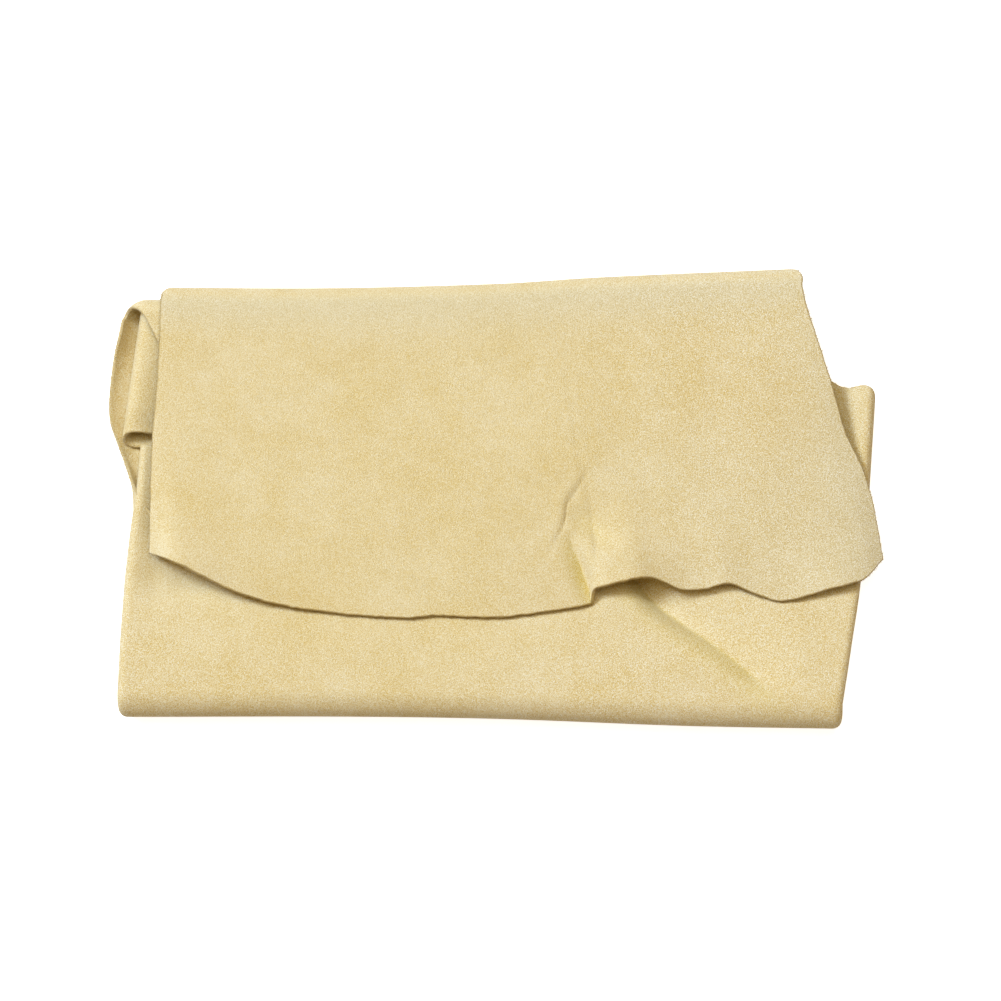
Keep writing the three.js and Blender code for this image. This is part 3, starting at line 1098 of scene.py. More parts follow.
@dataclass(frozen=True)
class FrontSheet(SkinSheet):
    """The lower part of the skin, folded up, with its side margins hemmed under it."""

    name: str = "chamois_front"
    node: str = "front_panel"
    rests_on: tuple[str, ...] = ("chamois_back",)
    seams: tuple[Edge, ...] = (Edge.FIRST_ROW,)
    roll_rows: int = 26
    rows: int = 104
    columns: int = 236
    hem_columns: int = 20
    left_x: float = -143.4
    right_x: float = 131.5
    far_left: tuple[float, float] = (-138.8, 22.3)
    far_right: tuple[float, float] = (143.8, -1.8)
    sink: float = 10.3
    # Offsets of the sides, by the share of the way from the fold to the far edge
    left_edge: Curve = Curve((0, 0), (0.35, -1), (0.6, -0.7), (0.8, 0.3), (1, 0))
    right_edge: Curve = Curve((0, 0), (0.3, 0.9), (0.6, 1.9), (0.8, 1.2), (1, 0))
    hem_height: float = 5.2
    hem_height_far: float = 3.4
    hem_reach: float = 7.0
    # The diagonal crease, with its depth and the widths of its flanks by the share of its length
    crease: Crease = Crease(
        (47, -18), (53, -30), (60, -40), (66.5, -46), (73.5, -51.5), (81, -57), (88.5, -63), (95, -68.8),
        (101, -75), (114, -88),
    )
    crease_depth: Curve = Curve(
        (0, 0), (0.08, 4.6), (0.18, 7.6), (0.35, 7.4), (0.55, 6.0), (0.75, 4.3), (0.9, 1.5), (1, 0)
    )
    crease_left: Curve = Curve((0, 9), (0.5, 9), (1, 10))
    crease_right: Curve = Curve((0, 5), (0.2, 7), (0.45, 12), (1, 13))
    # The yellow painted shade is full where the crease is this deep, and reaches far on its shaded flank
    # only.
    crease_full: float = 5.0
    tint_short: float = 0.7
    tint_wide: float = 7.5
    under_pinch: Swelling = Swelling(34.0, -33.0, 8.0, 8.0, -1.6)
    hem_ridge: Swelling = Swelling(-140.0, -2.0, 3.5, 28.0, 1.0)
    beside_hem: Swelling = Swelling(-131.5, -3.0, 5.0, 26.0, -2.9)
    under_corner: Swelling = Swelling(-120.0, -31.0, 14.0, 8.0, -4.5)
    broad: Ripple = Ripple(38.0, 11)
    broad_height: float = 0.35
    small: Ripple = Ripple(13.0, 12)
    small_height: float = 0.1
    # Parts of the panel's length, as divisors, over which creases and unevenness come in from the fold
    crease_start: float = 8.0
    uneven_start: float = 5.0
    bend_tilt: float = 0.2
    bend_start: float = 1.65
    bend_height: float = 8.4

    def height(self, x: Grid, y: Grid, v: Grid) -> Grid:
        """Find the height of the panel's middle surface.

        Args:
            x: Places along X.
            y: Places along Y.
            v: Shares of the way from the fold to the far edge.

        Returns:
            The height at each point.
        """
        along, aside = self.crease.measure(x, y)
        below = slope_to(aside, self.crease_left(along))
        above = hump(aside, self.crease_right(along))
        crease = self.crease_depth(along) * np.where(aside < 0.0, above, below)
        uneven = self.broad_height * self.broad(x, y) + self.small_height * self.small(x, y)
        for swelling in (self.under_pinch, self.hem_ridge, self.beside_hem, self.under_corner):
            uneven = uneven + swelling(x, y)
        level = BOTTOM_FOLD.crest - self.sink * ease(v)
        return level - crease * ease(v * self.crease_start) + uneven * ease(v * self.uneven_start)

    def middle(self) -> Grid:
        """Lay the roll, the panel and the hems on both sides.

        Returns:
            Its points, rows by columns, in millimetres.
        """
        column = np.linspace(0.0, 1.0, self.columns)[None, :]
        inset = self.hem_height / 2
        left = Curve((-90, self.left_x + inset), (90, self.left_x + inset))
        right = Curve((-90, self.right_x - inset), (90, self.right_x - inset))
        rolled = BOTTOM_FOLD.rows(left, right, column, self.roll_rows)
        v = np.linspace(0.0, 1.0, self.rows)[:, None]
        hem = mix(self.hem_height, self.hem_height_far, v)
        margin = hem / 2 / (self.right_x - self.left_x)
        plan = PanelPlan(
            self.left_x, self.right_x, BOTTOM_FOLD.centre, self.far_left, self.far_right,
            Curve((0, 0), (1, 0)), self.left_edge, self.right_edge,
        )
        x, y = plan(mix(margin, 1.0 - margin, column), v)
        main = np.concatenate([rolled, points(x, y, self.height(x, y, v))])
        arc = np.concatenate([np.full(len(rolled), self.hem_height), hem[:, 0]]) * math.pi / 2
        under = CurledMargin(arc + self.hem_reach, np.full(len(main), math.pi), arc, self.hem_columns)
        left_hem = under.beside(main[:, 0], main[:, 1], 1)
        right_hem = under.beside(main[:, -1], main[:, -2], -1)
        return np.concatenate([left_hem[:, ::-1], main, right_hem], axis=1)

    def painted_light_tint(self, middle: Grid) -> Grid:
        """Find the painted shade on the diagonal crease, which lies mostly on its shaded flank.

        Args:
            middle: Points of the middle surface.

        Returns:
            The painted shade at each point, from -1 where it is full to 0.
        """
        along, aside = self.crease.measure(middle[..., 0], middle[..., 1])
        beside = np.where(aside < 0.0, hump(aside, self.tint_short), hump(aside, self.tint_wide))
        return -np.clip(self.crease_depth(along) / self.crease_full, 0.0, 1.0) * beside

    def attach(self, piece: bpy.types.Object) -> None:
        """Bake the panel's transform into its mesh.

        Args:
            piece: The sheet, or the fibres on its edges.
        """
        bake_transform(piece)


@dataclass(frozen=True)
class FlapSheet(SkinSheet):
    """The upper part of the skin, folded down over everything, with a raw wavy edge."""

    name: str = "chamois_flap"
    node: str = "flap"
    rests_on: tuple[str, ...] = ("chamois_front",)
    seams: tuple[Edge, ...] = (Edge.FIRST_ROW,)
    raw: tuple[Edge, ...] = (Edge.LAST_ROW, Edge.FIRST_COLUMN, Edge.LAST_COLUMN)
    front: FrontSheet = field(default_factory=FrontSheet)
    roll_rows: int = 26
    rows: int = 112
    columns: int = 310
    # Columns of points lie closer together at the pinch.
    column_shares: tuple[float, ...] = (0.0, 0.42, 0.8, 1.0)
    column_places: tuple[float, ...] = (0.0, 0.5, 0.68, 1.0)
    left_x: float = -131.5
    right_x: float = 120.5
    far_left: tuple[float, float] = (-133.1, -24.5)
    far_right: tuple[float, float] = (149.4, -24.6)
    # X of the roll's ends, by the angle round the fold in degrees
    left_end: Curve = Curve(
        (-90, -127.3), (0, -127.3), (15, -127.5), (30, -129), (45, -130.3), (60, -131.2), (90, -131.5)
    )
    right_end: Curve = Curve(
        (-90, 116), (0, 116), (15, 116.4), (30, 118.3), (45, 119.6), (60, 120.6), (75, 120.9), (90, 120.5)
    )
    # Offsets of the sides, by the share of the way from the fold to the free edge
    left_edge: Curve = Curve((0, 0), (0.3, 0.2), (0.55, -0.7), (0.8, -0.5), (1, 0))
    right_edge: Curve = Curve(
        (0, 0), (0.06, -0.7), (0.14, -0.8), (0.35, -0.2), (0.55, -0.3), (0.68, 2.2), (0.78, 2.5),
        (0.9, 1.4), (1, 0),
    )
    # The free edge, by the share of the way from left to right: offset from the line between its
    # corners, sideways hook beside the pinch, and height above the panel that it lies on
    free_edge: Curve = Curve(
        (0, 1.9), (0.036, -3.6), (0.12, -14.6), (0.2, -20.3), (0.34, -24.2), (0.39, -23.2), (0.475, -23.8),
        (0.58, -19.7), (0.6, -18.6), (0.607, -17.9), (0.615, -13.4), (0.622, -12.4), (0.68, -8.6),
        (0.725, -12.3), (0.757, -12.2), (0.79, -10.4), (0.825, -14), (0.86, -16.9), (0.936, -11.8),
        (0.975, -8), (1, 0),
    )
    hook: Curve = Curve(
        (0, 0), (0.585, 0), (0.6, -0.5), (0.607, -1.2), (0.615, -2.6), (0.622, -1.8), (0.635, -0.4),
        (0.65, 0), (1, 0),
    )
    edge_lift: Curve = Curve(
        (0, 0.8), (0.012, 4), (0.03, 8), (0.06, 8), (0.12, 4), (0.2, 1.1), (0.3, 0.4), (0.57, 0.6),
        (0.603, 1.6), (0.63, 5.2), (0.66, 5.8), (0.69, 3), (0.725, 0.3), (0.755, 0.6), (0.785, 2.2),
        (0.82, 0.8), (0.86, 0.2), (0.9, 1.8), (0.94, 3.2), (0.97, 2.7), (1, 1.2),
    )
    # The tuck, the sag and the pinch, with their depths by the share of their length
    tuck: Crease = Crease(
        (39, 16.5), (35.5, 10.4), (30.4, 1.1), (27.2, -3.7), (26.3, -9.7), (24.7, -14.9), (21.8, -19.8),
        (17.9, -26.8), (15, -31),
    )
    tuck_depth: Curve = Curve((0, 0), (0.2, 0.35), (0.38, 0.9), (0.52, 0.9), (0.7, 0.4), (0.85, 0.1), (1, 0))
    tuck_width: float = 1.4
    tuck_fade: float = 3.5
    tuck_lip: float = 0.25
    tuck_lip_aside: float = 2.6
    tuck_lip_width: float = 2.0
    sag: Crease = Crease((27.5, -6.5), (34.6, -11.5), (41.1, -16.7), (50, -21.5))
    sag_depth: Curve = Curve((0, 0.1), (0.25, 1.5), (0.55, 1.5), (1, 0))
    sag_width: float = 5.0
    pinch: Crease = Crease((27.2, -15), (29.8, -22), (32.8, -29), (35.8, -37), (38, -44))
    pinch_depth: Curve = Curve((0, 0), (0.25, 1.8), (0.6, 3.6), (0.85, 2.9), (1, 1.7))
    pinch_left: float = 8.0
    pinch_right: float = 3.0
    ridge_share: float = 0.2
    ridge_aside: float = 6.5
    ridge_width: float = 4.5
    # The yellow painted shade is full where they are this deep, and reaches far on the pinch's shaded flank
    # only.
    pinch_full: float = 2.8
    sag_full: float = 5.0
    tint_short: float = 0.7
    tint_wide: float = 4.5
    bulge: Swelling = Swelling(68.0, -25.0, 26.0, 14.0, 1.3)
    hollow: Swelling = Swelling(41.0, -8.0, 9.0, 13.0, -1.0)
    # The flap's cut edges carry more painted shade, for the shade under the free edge.
    rim_shade_share: float = 0.75
    # Raggedness of the raw edges, which dies away within a few rows and columns of points
    ragged: float = 0.2
    tatter: Ripple = Ripple(2.0, 23)
    rim_power: int = 40
    side_power: int = 120
    ragged_start: float = 8.0
    # Powers by which the hook dies away inwards, the panel falls and the free edge lifts
    hook_power: int = 10
    fall_power: int = 2
    lift_power: int = 5
    broad: Ripple = Ripple(46.0, 21)
    broad_height: float = 0.4
    small: Ripple = Ripple(15.0, 22)
    small_height: float = 0.12
    # Parts of the panel's length, as divisors, over which unevenness ends and creases begin
    uneven_end: float = 6.0
    crease_start: float = 5.0
    left_droop: float = 0.2
    right_droop: float = 0.25
    droop_width: float = 2.0
    # Painted sheen, a paler tint, on the top fold, the right side and the right tip, with widths as shares
    # of the panel
    crest_sheen: float = 0.75
    crest_sheen_width: float = 0.1
    side_sheen: float = 0.4
    side_sheen_width: float = 0.06
    tip_sheen: float = 0.45
    tip_from: tuple[float, float] = (0.55, 0.25)
    tip_reach: tuple[float, float] = (0.45, 0.6)
    bend_tilt: float = -0.1
    bend_start: float = 1.65
    bend_height: float = 12.0

    def plan(self) -> PanelPlan:
        """Lay out the panel between the top fold and the free edge.

        Returns:
            The plan.
        """
        return PanelPlan(
            self.left_x, self.right_x, TOP_FOLD.centre, self.far_left, self.far_right,
            self.free_edge, self.left_edge, self.right_edge,
        )

    def rest(self, x: Grid, y: Grid) -> Grid:
        """Find the height at which the free edge lies on the front panel.

        Args:
            x: Places along X.
            y: Places along Y.

        Returns:
            The height at each point.
        """
        front = self.front
        across = (x - front.left_x) / (front.right_x - front.left_x)
        start = BOTTOM_FOLD.centre(x)
        share = (y - start) / (mix(front.far_left[1], front.far_right[1], across) - start)
        return BOTTOM_FOLD.crest - front.sink * ease(share) + SKIN.ply_floor

    def creases(self, x: Grid, y: Grid) -> Grid:
        """Shape the tuck, the sag, the pinch and the swellings beside them.

        Args:
            x: Places along X.
            y: Places along Y.

        Returns:
            How far each point stands above the plain panel.
        """
        along, aside = self.tuck.measure(x, y)
        drop = ease(0.5 - aside / self.tuck_width) * np.exp(np.minimum(aside, 0.0) / self.tuck_fade)
        lip = self.tuck_lip * hump(aside - self.tuck_lip_aside, self.tuck_lip_width)
        tuck = -self.tuck_depth(along) * (drop - lip)
        along, aside = self.sag.measure(x, y)
        sag = -self.sag_depth(along) * hump(aside, self.sag_width)
        along, aside = self.pinch.measure(x, y)
        depth = self.pinch_depth(along)
        flanks = np.where(aside > 0.0, slope_to(aside, self.pinch_left), hump(aside, self.pinch_right))
        pinch = -depth * flanks
        ridge = self.ridge_share * depth * hump(aside + self.ridge_aside, self.ridge_width)
        return tuck + sag + pinch + ridge + self.bulge(x, y) + self.hollow(x, y)

    def height(self, u: Grid, v: Grid, x: Grid, y: Grid) -> Grid:
        """Find the height of the panel's middle surface.

        Args:
            u: Shares of the way from left to right.
            v: Shares of the way from the fold to the free edge.
            x: Places along X.
            y: Places along Y.

        Returns:
            The height at each point.
        """
        rest = self.rest(*self.plan()(u, np.ones((1, 1))))
        level = mix(TOP_FOLD.crest, rest, v**self.fall_power) + self.edge_lift(u) * v**self.lift_power
        uneven = self.broad_height * self.broad(x, y) + self.small_height * self.small(x, y)
        uneven = uneven * ease((1.0 - v) * self.uneven_end)
        width = self.right_x - self.left_x
        at_left = self.left_droop * hump(u * width, self.droop_width)
        at_right = self.right_droop * hump((1.0 - u) * width, self.droop_width)
        relief = uneven + self.creases(x, y) - (at_left + at_right)
        return level + relief * ease(v * self.crease_start)

    def across(self) -> Grid:
        """Return the shares of the way from left to right, closer together at the pinch."""
        even = np.linspace(0.0, 1.0, self.columns)
        return np.interp(even, self.column_shares, self.column_places)[None, :]

    def middle(self) -> Grid:
        """Lay the roll and the panel.

        Returns:
            Its points, rows by columns, in millimetres.
        """
        u = self.across()
        rolled = TOP_FOLD.rows(self.left_end, self.right_end, u, self.roll_rows)
        v = np.linspace(0.0, 1.0, self.rows)[:, None]
        x, y = self.plan()(u, v)
        along = self.ragged * self.tatter(x, np.zeros_like(x)) * v**self.rim_power
        sides = (1.0 - u) ** self.side_power + u**self.side_power
        aside = self.ragged * self.tatter(y, np.ones_like(y)) * sides * ease(v * self.ragged_start)
        hooked = x + self.hook(u) * v**self.hook_power
        panel = points(hooked + aside, y + along, self.height(u, v, x, y))
        return np.concatenate([rolled, panel])

    def painted_light_tint(self, middle: Grid) -> Grid:
        """Find the painted sheen along the top fold, the right edge and the right tip, less the painted
        shade of the creases.

        Args:
            middle: Points of the middle surface.

        Returns:
            The painted light at each point, from -1 for full painted shade to 1 for full painted sheen.
        """
        # Painted shade on the pinch and the sag, mostly on the pinch's shaded flank
        along, aside = self.pinch.measure(middle[..., 0], middle[..., 1])
        flank = np.where(aside > 0.0, hump(aside, self.tint_wide), hump(aside, self.tint_short))
        painted_crease_shade = self.pinch_depth(along) / self.pinch_full * flank
        along, aside = self.sag.measure(middle[..., 0], middle[..., 1])
        painted_crease_shade += self.sag_depth(along) / self.sag_full * hump(aside, self.sag_width)
        u = self.across()
        rolled = np.linspace(-1.0, 0.0, self.roll_rows + int(SKIN.seam_run))
        v = np.concatenate([rolled, np.linspace(0.0, 1.0, self.rows)])[:, None]
        crest = self.crest_sheen * hump(v, self.crest_sheen_width)
        side = self.side_sheen * hump(1.0 - u, self.side_sheen_width)
        right = ease((u - self.tip_from[0]) / self.tip_reach[0])
        low = ease((v - self.tip_from[1]) / self.tip_reach[1])
        tip = self.tip_sheen * right * low
        return np.clip(np.maximum(crest, side + tip) - painted_crease_shade, -1.0, 1.0)

    def attach(self, piece: bpy.types.Object) -> None:
        """Bake the flap's transform into its mesh.

        Args:
            piece: The sheet, or the fibres on its edges.
        """
        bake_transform(piece)


@dataclass(frozen=True)
class CornerSheet(SkinSheet):
    """The left end of the top fold: an open roll whose raw edge runs on a slant under the flap."""

    name: str = "chamois_corner"
    node: str = "corner_lip"
    rests_on: tuple[str, ...] = ("chamois_back",)
    seams: tuple[Edge, ...] = (Edge.FIRST_ROW,)
    raw: tuple[Edge, ...] = (Edge.FIRST_COLUMN,)
    back: BackSheet = field(default_factory=BackSheet)
    rows: int = 84
    columns: int = 22
    margin_columns: int = 14
    reach: float = 44.0
    slope: float = 0.1
    # Ends and curled margin of the roll, by the length along it from where it leaves the floor
    left_x: Curve = Curve((-4, -138.5), (9, -138.5), (14, -138), (20, -136), (26, -133), (44, -124))
    right_x: Curve = Curve((-4, -129.8), (11, -129.8), (18, -124), (26, -119), (44, -117))
    margin_length: Curve = Curve(
        (-1.7, 11.8), (0, 11.8), (6, 10.2), (11, 8.2), (16, 5.2), (22, 3.0), (44, 3.0)
    )
    margin_turn: Curve = Curve((-7, 1.15), (0, 1.15), (6, 1.05), (11, 0.9), (16, 0.6), (22, 0.3), (44, 0.2))
    bend_start: float = 7.4
    bend_end: float = 11.3

    def middle(self) -> Grid:
        """Lay the roll with its curled left margin.

        Returns:
            Its points, rows by columns, in millimetres.
        """
        radius = SKIN.corner_height / 2
        roll = radius - SKIN.half
        run = np.linspace(-SKIN.corner_run, self.reach, self.rows)[:, None]
        share = np.linspace(0.0, 1.0, self.columns)[None, :]
        x = mix(self.left_x(run), self.right_x(run), share)
        angle = np.clip(run / roll, 0.0, math.pi) - math.pi / 2
        past = np.maximum(run - math.pi * roll, 0.0)
        y = SKIN.corner_centre + roll * np.cos(angle) + np.minimum(run, 0.0) - past
        main = points(x, y, radius + roll * np.sin(angle) - self.slope * past)
        run = run[:, 0]
        on_floor = SKIN.corner_centre + run
        length = np.where(run < 0.0, self.back.left_length(on_floor), self.margin_length(run))
        turn = np.where(run < 0.0, self.back.left_turn(on_floor), self.margin_turn(run))
        margin = CurledMargin(length, turn, length, self.margin_columns)
        return np.concatenate([margin.beside(main[:, 0], main[:, 1], -1)[:, ::-1], main], axis=1)

    def attach(self, piece: bpy.types.Object) -> None:
        """Bake the corner's transform into its mesh.

        Args:
            piece: The sheet, or the fibres on its edges.
        """
        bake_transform(piece)


@dataclass(frozen=True)
class MarginShape:
    """Shape of a turned-in margin in millimetres; side is -1 at the left and 1 at the right."""

    side: int
    height: float
    fold_x: float
    lean: float
    low: float
    high: float
    under_high: float
    lip: float
    under_reach: float
    reach_low: float
    reach_high: float

    @property
    def radius(self) -> float:
        """Radius of the fold, outside."""
        return self.height / 2

    @property
    def roll(self) -> float:
        """Radius of the middle surface in the fold."""
        return self.radius - SKIN.half

    def high_end(self, inward: Grid, over: Grid) -> Grid:
        """Return where the margin ends along Y; over is 0 on the under ply and 1 on the ply above."""
        return mix(self.under_high, self.high, over)

    def relief(self, inward: Grid, share: Grid, over: Grid) -> Grid:
        """Return how far the surface stands above its plain height."""
        raise NotImplementedError

    def place(self, inward: Grid, height: Grid, over: Grid, share: Grid) -> Grid:
        """Place points of the margin.

        Args:
            inward: Distances from the fold line.
            height: Heights above the fold's middle line.
            over: 0 on the under ply, 1 on the ply above and between them round the fold.
            share: Shares of the way along the margin.

        Returns:
            The points.
        """
        y = mix(mix(self.low - self.lip, self.low, over), self.high_end(inward, over), share)
        x = self.fold_x + self.lean * (y - self.low) / (self.high - self.low) - self.side * inward
        z = SKIN.ply_floor + self.radius + height + self.relief(inward, share, over)
        return points(x, y, z)


@dataclass(frozen=True)
class LeftMarginShape(MarginShape):
    """The flattened roll at the left end, whose lower mouth is open."""

    side: int = -1
    height: float = SKIN.left_height
    fold_x: float = -146.6
    lean: float = 5.5
    low: float = 27.6
    high: float = 78.0
    under_high: float = 74.2
    lip: float = 4.4
    under_reach: float = 22.0
    reach_low: float = 24.0
    reach_high: float = 12.0
    # Falls and rises, with the shares of the margin's length or the distances over which they run
    mouth_drop: float = 1.6
    mouth_share: float = 0.12
    crown_drop: float = 3.0
    crown_from: float = 5.0
    crown_run: float = 10.0
    crown_far: float = 0.5
    lip_rise: float = 0.4
    lip_share: float = 0.1

    def relief(self, inward: Grid, share: Grid, over: Grid) -> Grid:
        """Shape the fall of the upper ply at its mouth and under the flap, and the lip's rise.

        Args:
            inward: Distances from the fold line.
            share: Shares of the way along the margin.
            over: 0 on the under ply, 1 on the ply above and between them round the fold.

        Returns:
            How far each point stands above its plain height.
        """
        mouth = -self.mouth_drop * hump(share, self.mouth_share)
        inside = ease((inward - self.crown_from) / self.crown_run)
        crown = -self.crown_drop * inside * mix(1.0, self.crown_far, share)
        return over * (mouth + crown) + (1.0 - over) * self.lip_rise * hump(share, self.lip_share)


@dataclass(frozen=True)
class RightMarginShape(MarginShape):
    """The leaf beyond the flap: a margin whose upper ply has a hollow along it."""

    side: int = 1
    height: float = SKIN.right_height
    fold_x: float = 146.4
    lean: float = 3.9
    low: float = 4.0
    high: float = 45.0
    under_high: float = 41.0
    lip: float = 0.0
    under_reach: float = 22.0
    reach_low: float = 26.0
    reach_high: float = 26.0
    # Upper end of the leaf along Y and depth of its hollow, by the distance from the fold line
    leaf_end: Curve = Curve(
        (0, 40.5), (1.2, 43.2), (3, 44.6), (6, 45.4), (10, 44.9), (14, 46.0), (18, 48.3), (26, 49)
    )
    hollow: Curve = Curve(
        (0, 0.2), (1, 1.1), (2.2, 1.6), (4, 1.4), (6, 0.8), (9, -0.5), (13, -2.4), (17, -3.2), (26, -2.6)
    )

    def high_end(self, inward: Grid, over: Grid) -> Grid:
        """Return the wavy upper end of the leaf."""
        return mix(self.under_high, self.leaf_end(inward), over)

    def relief(self, inward: Grid, share: Grid, over: Grid) -> Grid:
        """Return the depth of the hollow."""
        return over * self.hollow(inward)


@dataclass(frozen=True)
class UnderPly(SkinSheet):
    """The ply under a turned-in margin, up to the fold."""

    rests_on: tuple[str, ...] = ("chamois_back",)
    seams: tuple[Edge, ...] = (Edge.LAST_COLUMN,)
    shape: MarginShape | None = None
    rows: int = 64
    columns: int = 20

    def middle(self) -> Grid:
        """Lay the ply from its hidden inner edge to the fold.

        Returns:
            Its points, rows by columns, in millimetres.
        """
        v = np.linspace(0.0, 1.0, self.rows)[:, None]
        inward = np.linspace(self.shape.under_reach, self.shape.radius, self.columns)[None, :]
        inward = np.broadcast_to(inward, (self.rows, self.columns))
        return self.shape.place(inward, np.full(inward.shape, -self.shape.roll), np.zeros(inward.shape), v)

    def attach(self, piece: bpy.types.Object) -> None:
        """Keep the ply down."""
        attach(piece, Body.BACK.value)


@dataclass(frozen=True)
class TurnedPly(SkinSheet):
    """The fold of a turned-in margin and the ply that lies over it."""

    seams: tuple[Edge, ...] = (Edge.FIRST_COLUMN,)
    shape: MarginShape | None = None
    body: Body = Body.LEFT_MARGIN
    bend_end: float = 0.0
    rows: int = 64
    fold_columns: int = 24
    over_columns: int = 28

    def middle(self) -> Grid:
        """Lay the fold and the ply above.

        Returns:
            Its points, rows by columns, in millimetres.
        """
        shape = self.shape
        v = np.linspace(0.0, 1.0, self.rows)[:, None]
        angle = np.linspace(-math.pi / 2, math.pi / 2, self.fold_columns)[None, :]
        ones = np.ones_like(v)
        fold_inward = (shape.radius - shape.roll * np.cos(angle)) * ones
        fold_height = shape.roll * np.sin(angle) * ones
        fold = shape.place(fold_inward, fold_height, (np.sin(angle) + 1) / 2 * ones, v)
        over = np.linspace(0.0, 1.0, self.over_columns + 1)[None, 1:]
        inward = mix(shape.radius, mix(shape.reach_low, shape.reach_high, v), over)
        ply = shape.place(inward, np.full(inward.shape, shape.roll), np.ones(inward.shape), v)
        return np.concatenate([fold, ply], axis=1)

    def attach(self, piece: bpy.types.Object) -> None:
        """Bake the ply's transform into its mesh.

        Args:
            piece: The sheet, or the fibres on its edges.
        """
        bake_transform(piece)


class FoldedChamois:
    """The whole leather: its plies from the floor up."""

    def sheets(self) -> list[SkinSheet]:
        """List the sheets of the skin.

        Returns:
            The sheets in the order in which they lie on each other.
        """
        left, right = LeftMarginShape(), RightMarginShape()
        return [
            BackSheet(),
            UnderPly("chamois_left_under", "left_under_ply", raw=(Edge.FIRST_ROW,), shape=left),
            UnderPly("chamois_right_under", "right_under_ply", shape=right),
            TurnedPly(
                "chamois_left_turn", "left_turn_in", ("chamois_left_under",), raw=(Edge.FIRST_ROW,),
                shape=left, body=Body.LEFT_MARGIN, bend_end=6.5,
            ),
            TurnedPly(
                "chamois_right_turn", "right_turn_in", ("chamois_right_under",), raw=(Edge.LAST_ROW,),
                shape=right, body=Body.RIGHT_MARGIN, bend_end=4.8,
            ),
            FrontSheet(),
            CornerSheet(),
            FlapSheet(),
        ]

    def build(self) -> None:
        """Make every sheet from one suede."""
        suede = Suede().build()
        for sheet in self.sheets():
            sheet.build(suede)


# The studio


@dataclass(frozen=True)
class SoftLight:
    """A square soft light that points at the leather, with its place and size in metres."""

    name: str
    place: tuple[float, float, float]
    size: float
    watts: float
    colour: tuple[float, float, float]

    def build(self, aim: Vector) -> None:
        """Add the light to the scene.

        Args:
            aim: Point that the light faces.
        """
        data = bpy.data.lights.new(self.name, "AREA")
        data.size = self.size
        data.energy = self.watts
        data.color = self.colour
        lamp = bpy.data.objects.new(self.name, data)
        lamp.location = self.place
        lamp.rotation_euler = (aim - Vector(self.place)).to_track_quat("-Z", "Y").to_euler()
        bpy.context.scene.collection.objects.link(lamp)


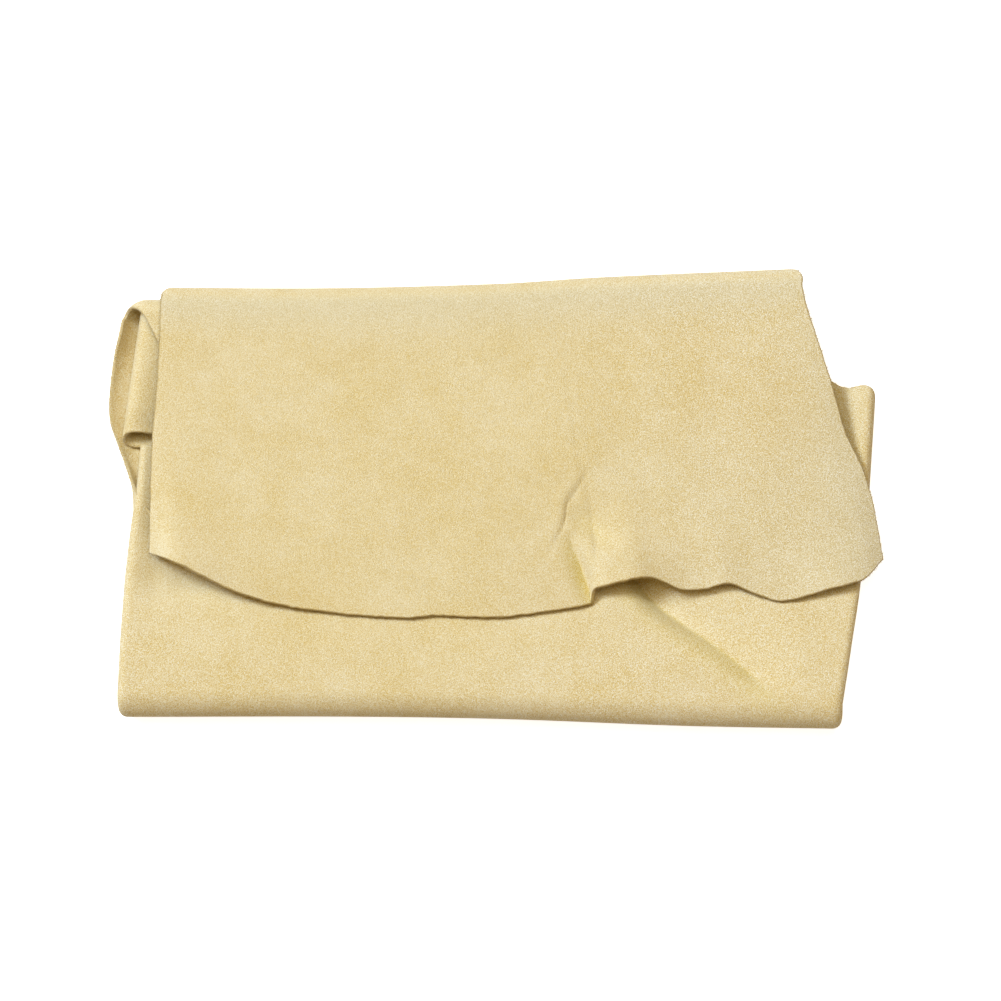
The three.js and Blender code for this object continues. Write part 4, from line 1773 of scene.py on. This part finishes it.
@dataclass(frozen=True)
class Studio:
    """The pale floor, the soft lights and the camera."""

    aim_mm: tuple[float, float, float] = (1.95, -0.8075, 9.0)
    elevation: float = 75.0
    distance_mm: float = 1084.42
    lens_mm: float = 100.0
    sensor_mm: float = 36.0
    # Nearest and farthest depth that the camera draws, and half the floor's width, in metres
    nearest: float = 0.05
    farthest: float = 50.0
    floor_half: float = 3.0
    floor_drop_mm: float = 0.3
    # Share of the light that the card sends back, and the glow that makes it white to the camera
    floor_return: float = 0.8
    floor_glow: float = 0.86
    sky: tuple[float, float, float, float] = (1.0, 0.6, 0.16, 1.0)
    sky_strength: float = 0.24
    lights: tuple[SoftLight, ...] = (
        SoftLight("key", (-3.86, 1.97, 4.7), 2.0, 376.0, (0.762, 0.873, 1.0)),
        SoftLight("top", (0.0, 1.0, 4.2), 3.6, 86.0, (1.0, 0.95, 0.72)),
    )

    @property
    def aim(self) -> Vector:
        """Point that the camera and the lights look at, in metres."""
        return Vector(self.aim_mm) * MM

    def camera(self) -> None:
        """Add the camera at the photograph's viewing angle."""
        data = bpy.data.cameras.new("camera")
        data.lens = self.lens_mm
        data.sensor_width = self.sensor_mm
        data.clip_start = self.nearest
        data.clip_end = self.farthest
        camera = bpy.data.objects.new("camera", data)
        tilt = math.radians(self.elevation)
        away = Vector((0.0, -math.cos(tilt), math.sin(tilt)))
        camera.location = self.aim + away * self.distance_mm * MM
        camera.rotation_euler = (-away).to_track_quat("-Z", "Y").to_euler()
        bpy.context.scene.collection.objects.link(camera)
        bpy.context.scene.camera = camera

    @staticmethod
    def seen(graph: NodeGraph) -> bpy.types.NodeSocket:
        """Tell the rays that show a surface from those that light the leather.

        Args:
            graph: Graph to add to.

        Returns:
            The output that is 1 where the camera, a reflection or clear matter shows the surface.
        """
        path = graph.add("ShaderNodeLightPath").outputs
        mirrored = graph.add(
            "ShaderNodeMath", {0: path["Is Glossy Ray"], 1: path["Is Transmission Ray"]}, operation="MAXIMUM"
        )
        either = {0: path["Is Camera Ray"], 1: mirrored.outputs["Value"]}
        return graph.add("ShaderNodeMath", either, operation="MAXIMUM").outputs["Value"]

    def floor(self) -> None:
        """Add the white floor, which shows to the camera as white except in the shadow."""
        half = self.floor_half
        corners = [(-half, -half), (half, -half), (half, half), (-half, half)]
        mesh = bpy.data.meshes.new("floor")
        mesh.from_pydata([(x, y, -self.floor_drop_mm * MM) for x, y in corners], [], [(0, 1, 2, 3)])
        # Smooth matt card gives the eye a plain white with only the soft shadow on it.
        material = bpy.data.materials.new("matt_white_card")
        material.use_nodes = True
        graph = NodeGraph(material.node_tree)
        card = (self.floor_return, self.floor_return, self.floor_return, 1.0)
        plain = graph.add("ShaderNodeBsdfDiffuse", {"Color": card}).outputs["BSDF"]
        white = {"Color": WHITE, "Strength": self.floor_glow}
        glow = graph.add("ShaderNodeEmission", white).outputs["Emission"]
        bright = graph.add("ShaderNodeAddShader", {0: plain, 1: glow}).outputs["Shader"]
        mixed = graph.add("ShaderNodeMixShader", {0: self.seen(graph), 1: plain, 2: bright})
        graph.add("ShaderNodeOutputMaterial", {"Surface": mixed.outputs["Shader"]})
        mesh.materials.append(material)
        floor = bpy.data.objects.new("floor", mesh)
        bpy.context.scene.collection.objects.link(floor)

    def world(self) -> None:
        """Set the even warm light from all around, which shows as white."""
        world = bpy.data.worlds.new("studio")
        world.use_nodes = True
        graph = NodeGraph(world.node_tree)
        sky = graph.add("ShaderNodeBackground", {"Color": self.sky, "Strength": self.sky_strength})
        white = graph.add("ShaderNodeBackground", {"Color": WHITE, "Strength": 1.0})
        ways = {0: self.seen(graph), 1: sky.outputs["Background"], 2: white.outputs["Background"]}
        mixed = graph.add("ShaderNodeMixShader", ways)
        graph.add("ShaderNodeOutputWorld", {"Surface": mixed.outputs["Shader"]})
        bpy.context.scene.world = world

    def build(self) -> None:
        """Set up the whole studio."""
        bpy.context.scene.view_settings.view_transform = "Standard"
        self.camera()
        self.floor()
        self.world()
        for light in self.lights:
            light.build(self.aim)


def main() -> None:
    """Build the studio and the leather."""
    logging.basicConfig(level=logging.INFO)
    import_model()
    Studio().build()
    FoldedChamois().build()
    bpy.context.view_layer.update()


if __name__ == "__main__":
    main()
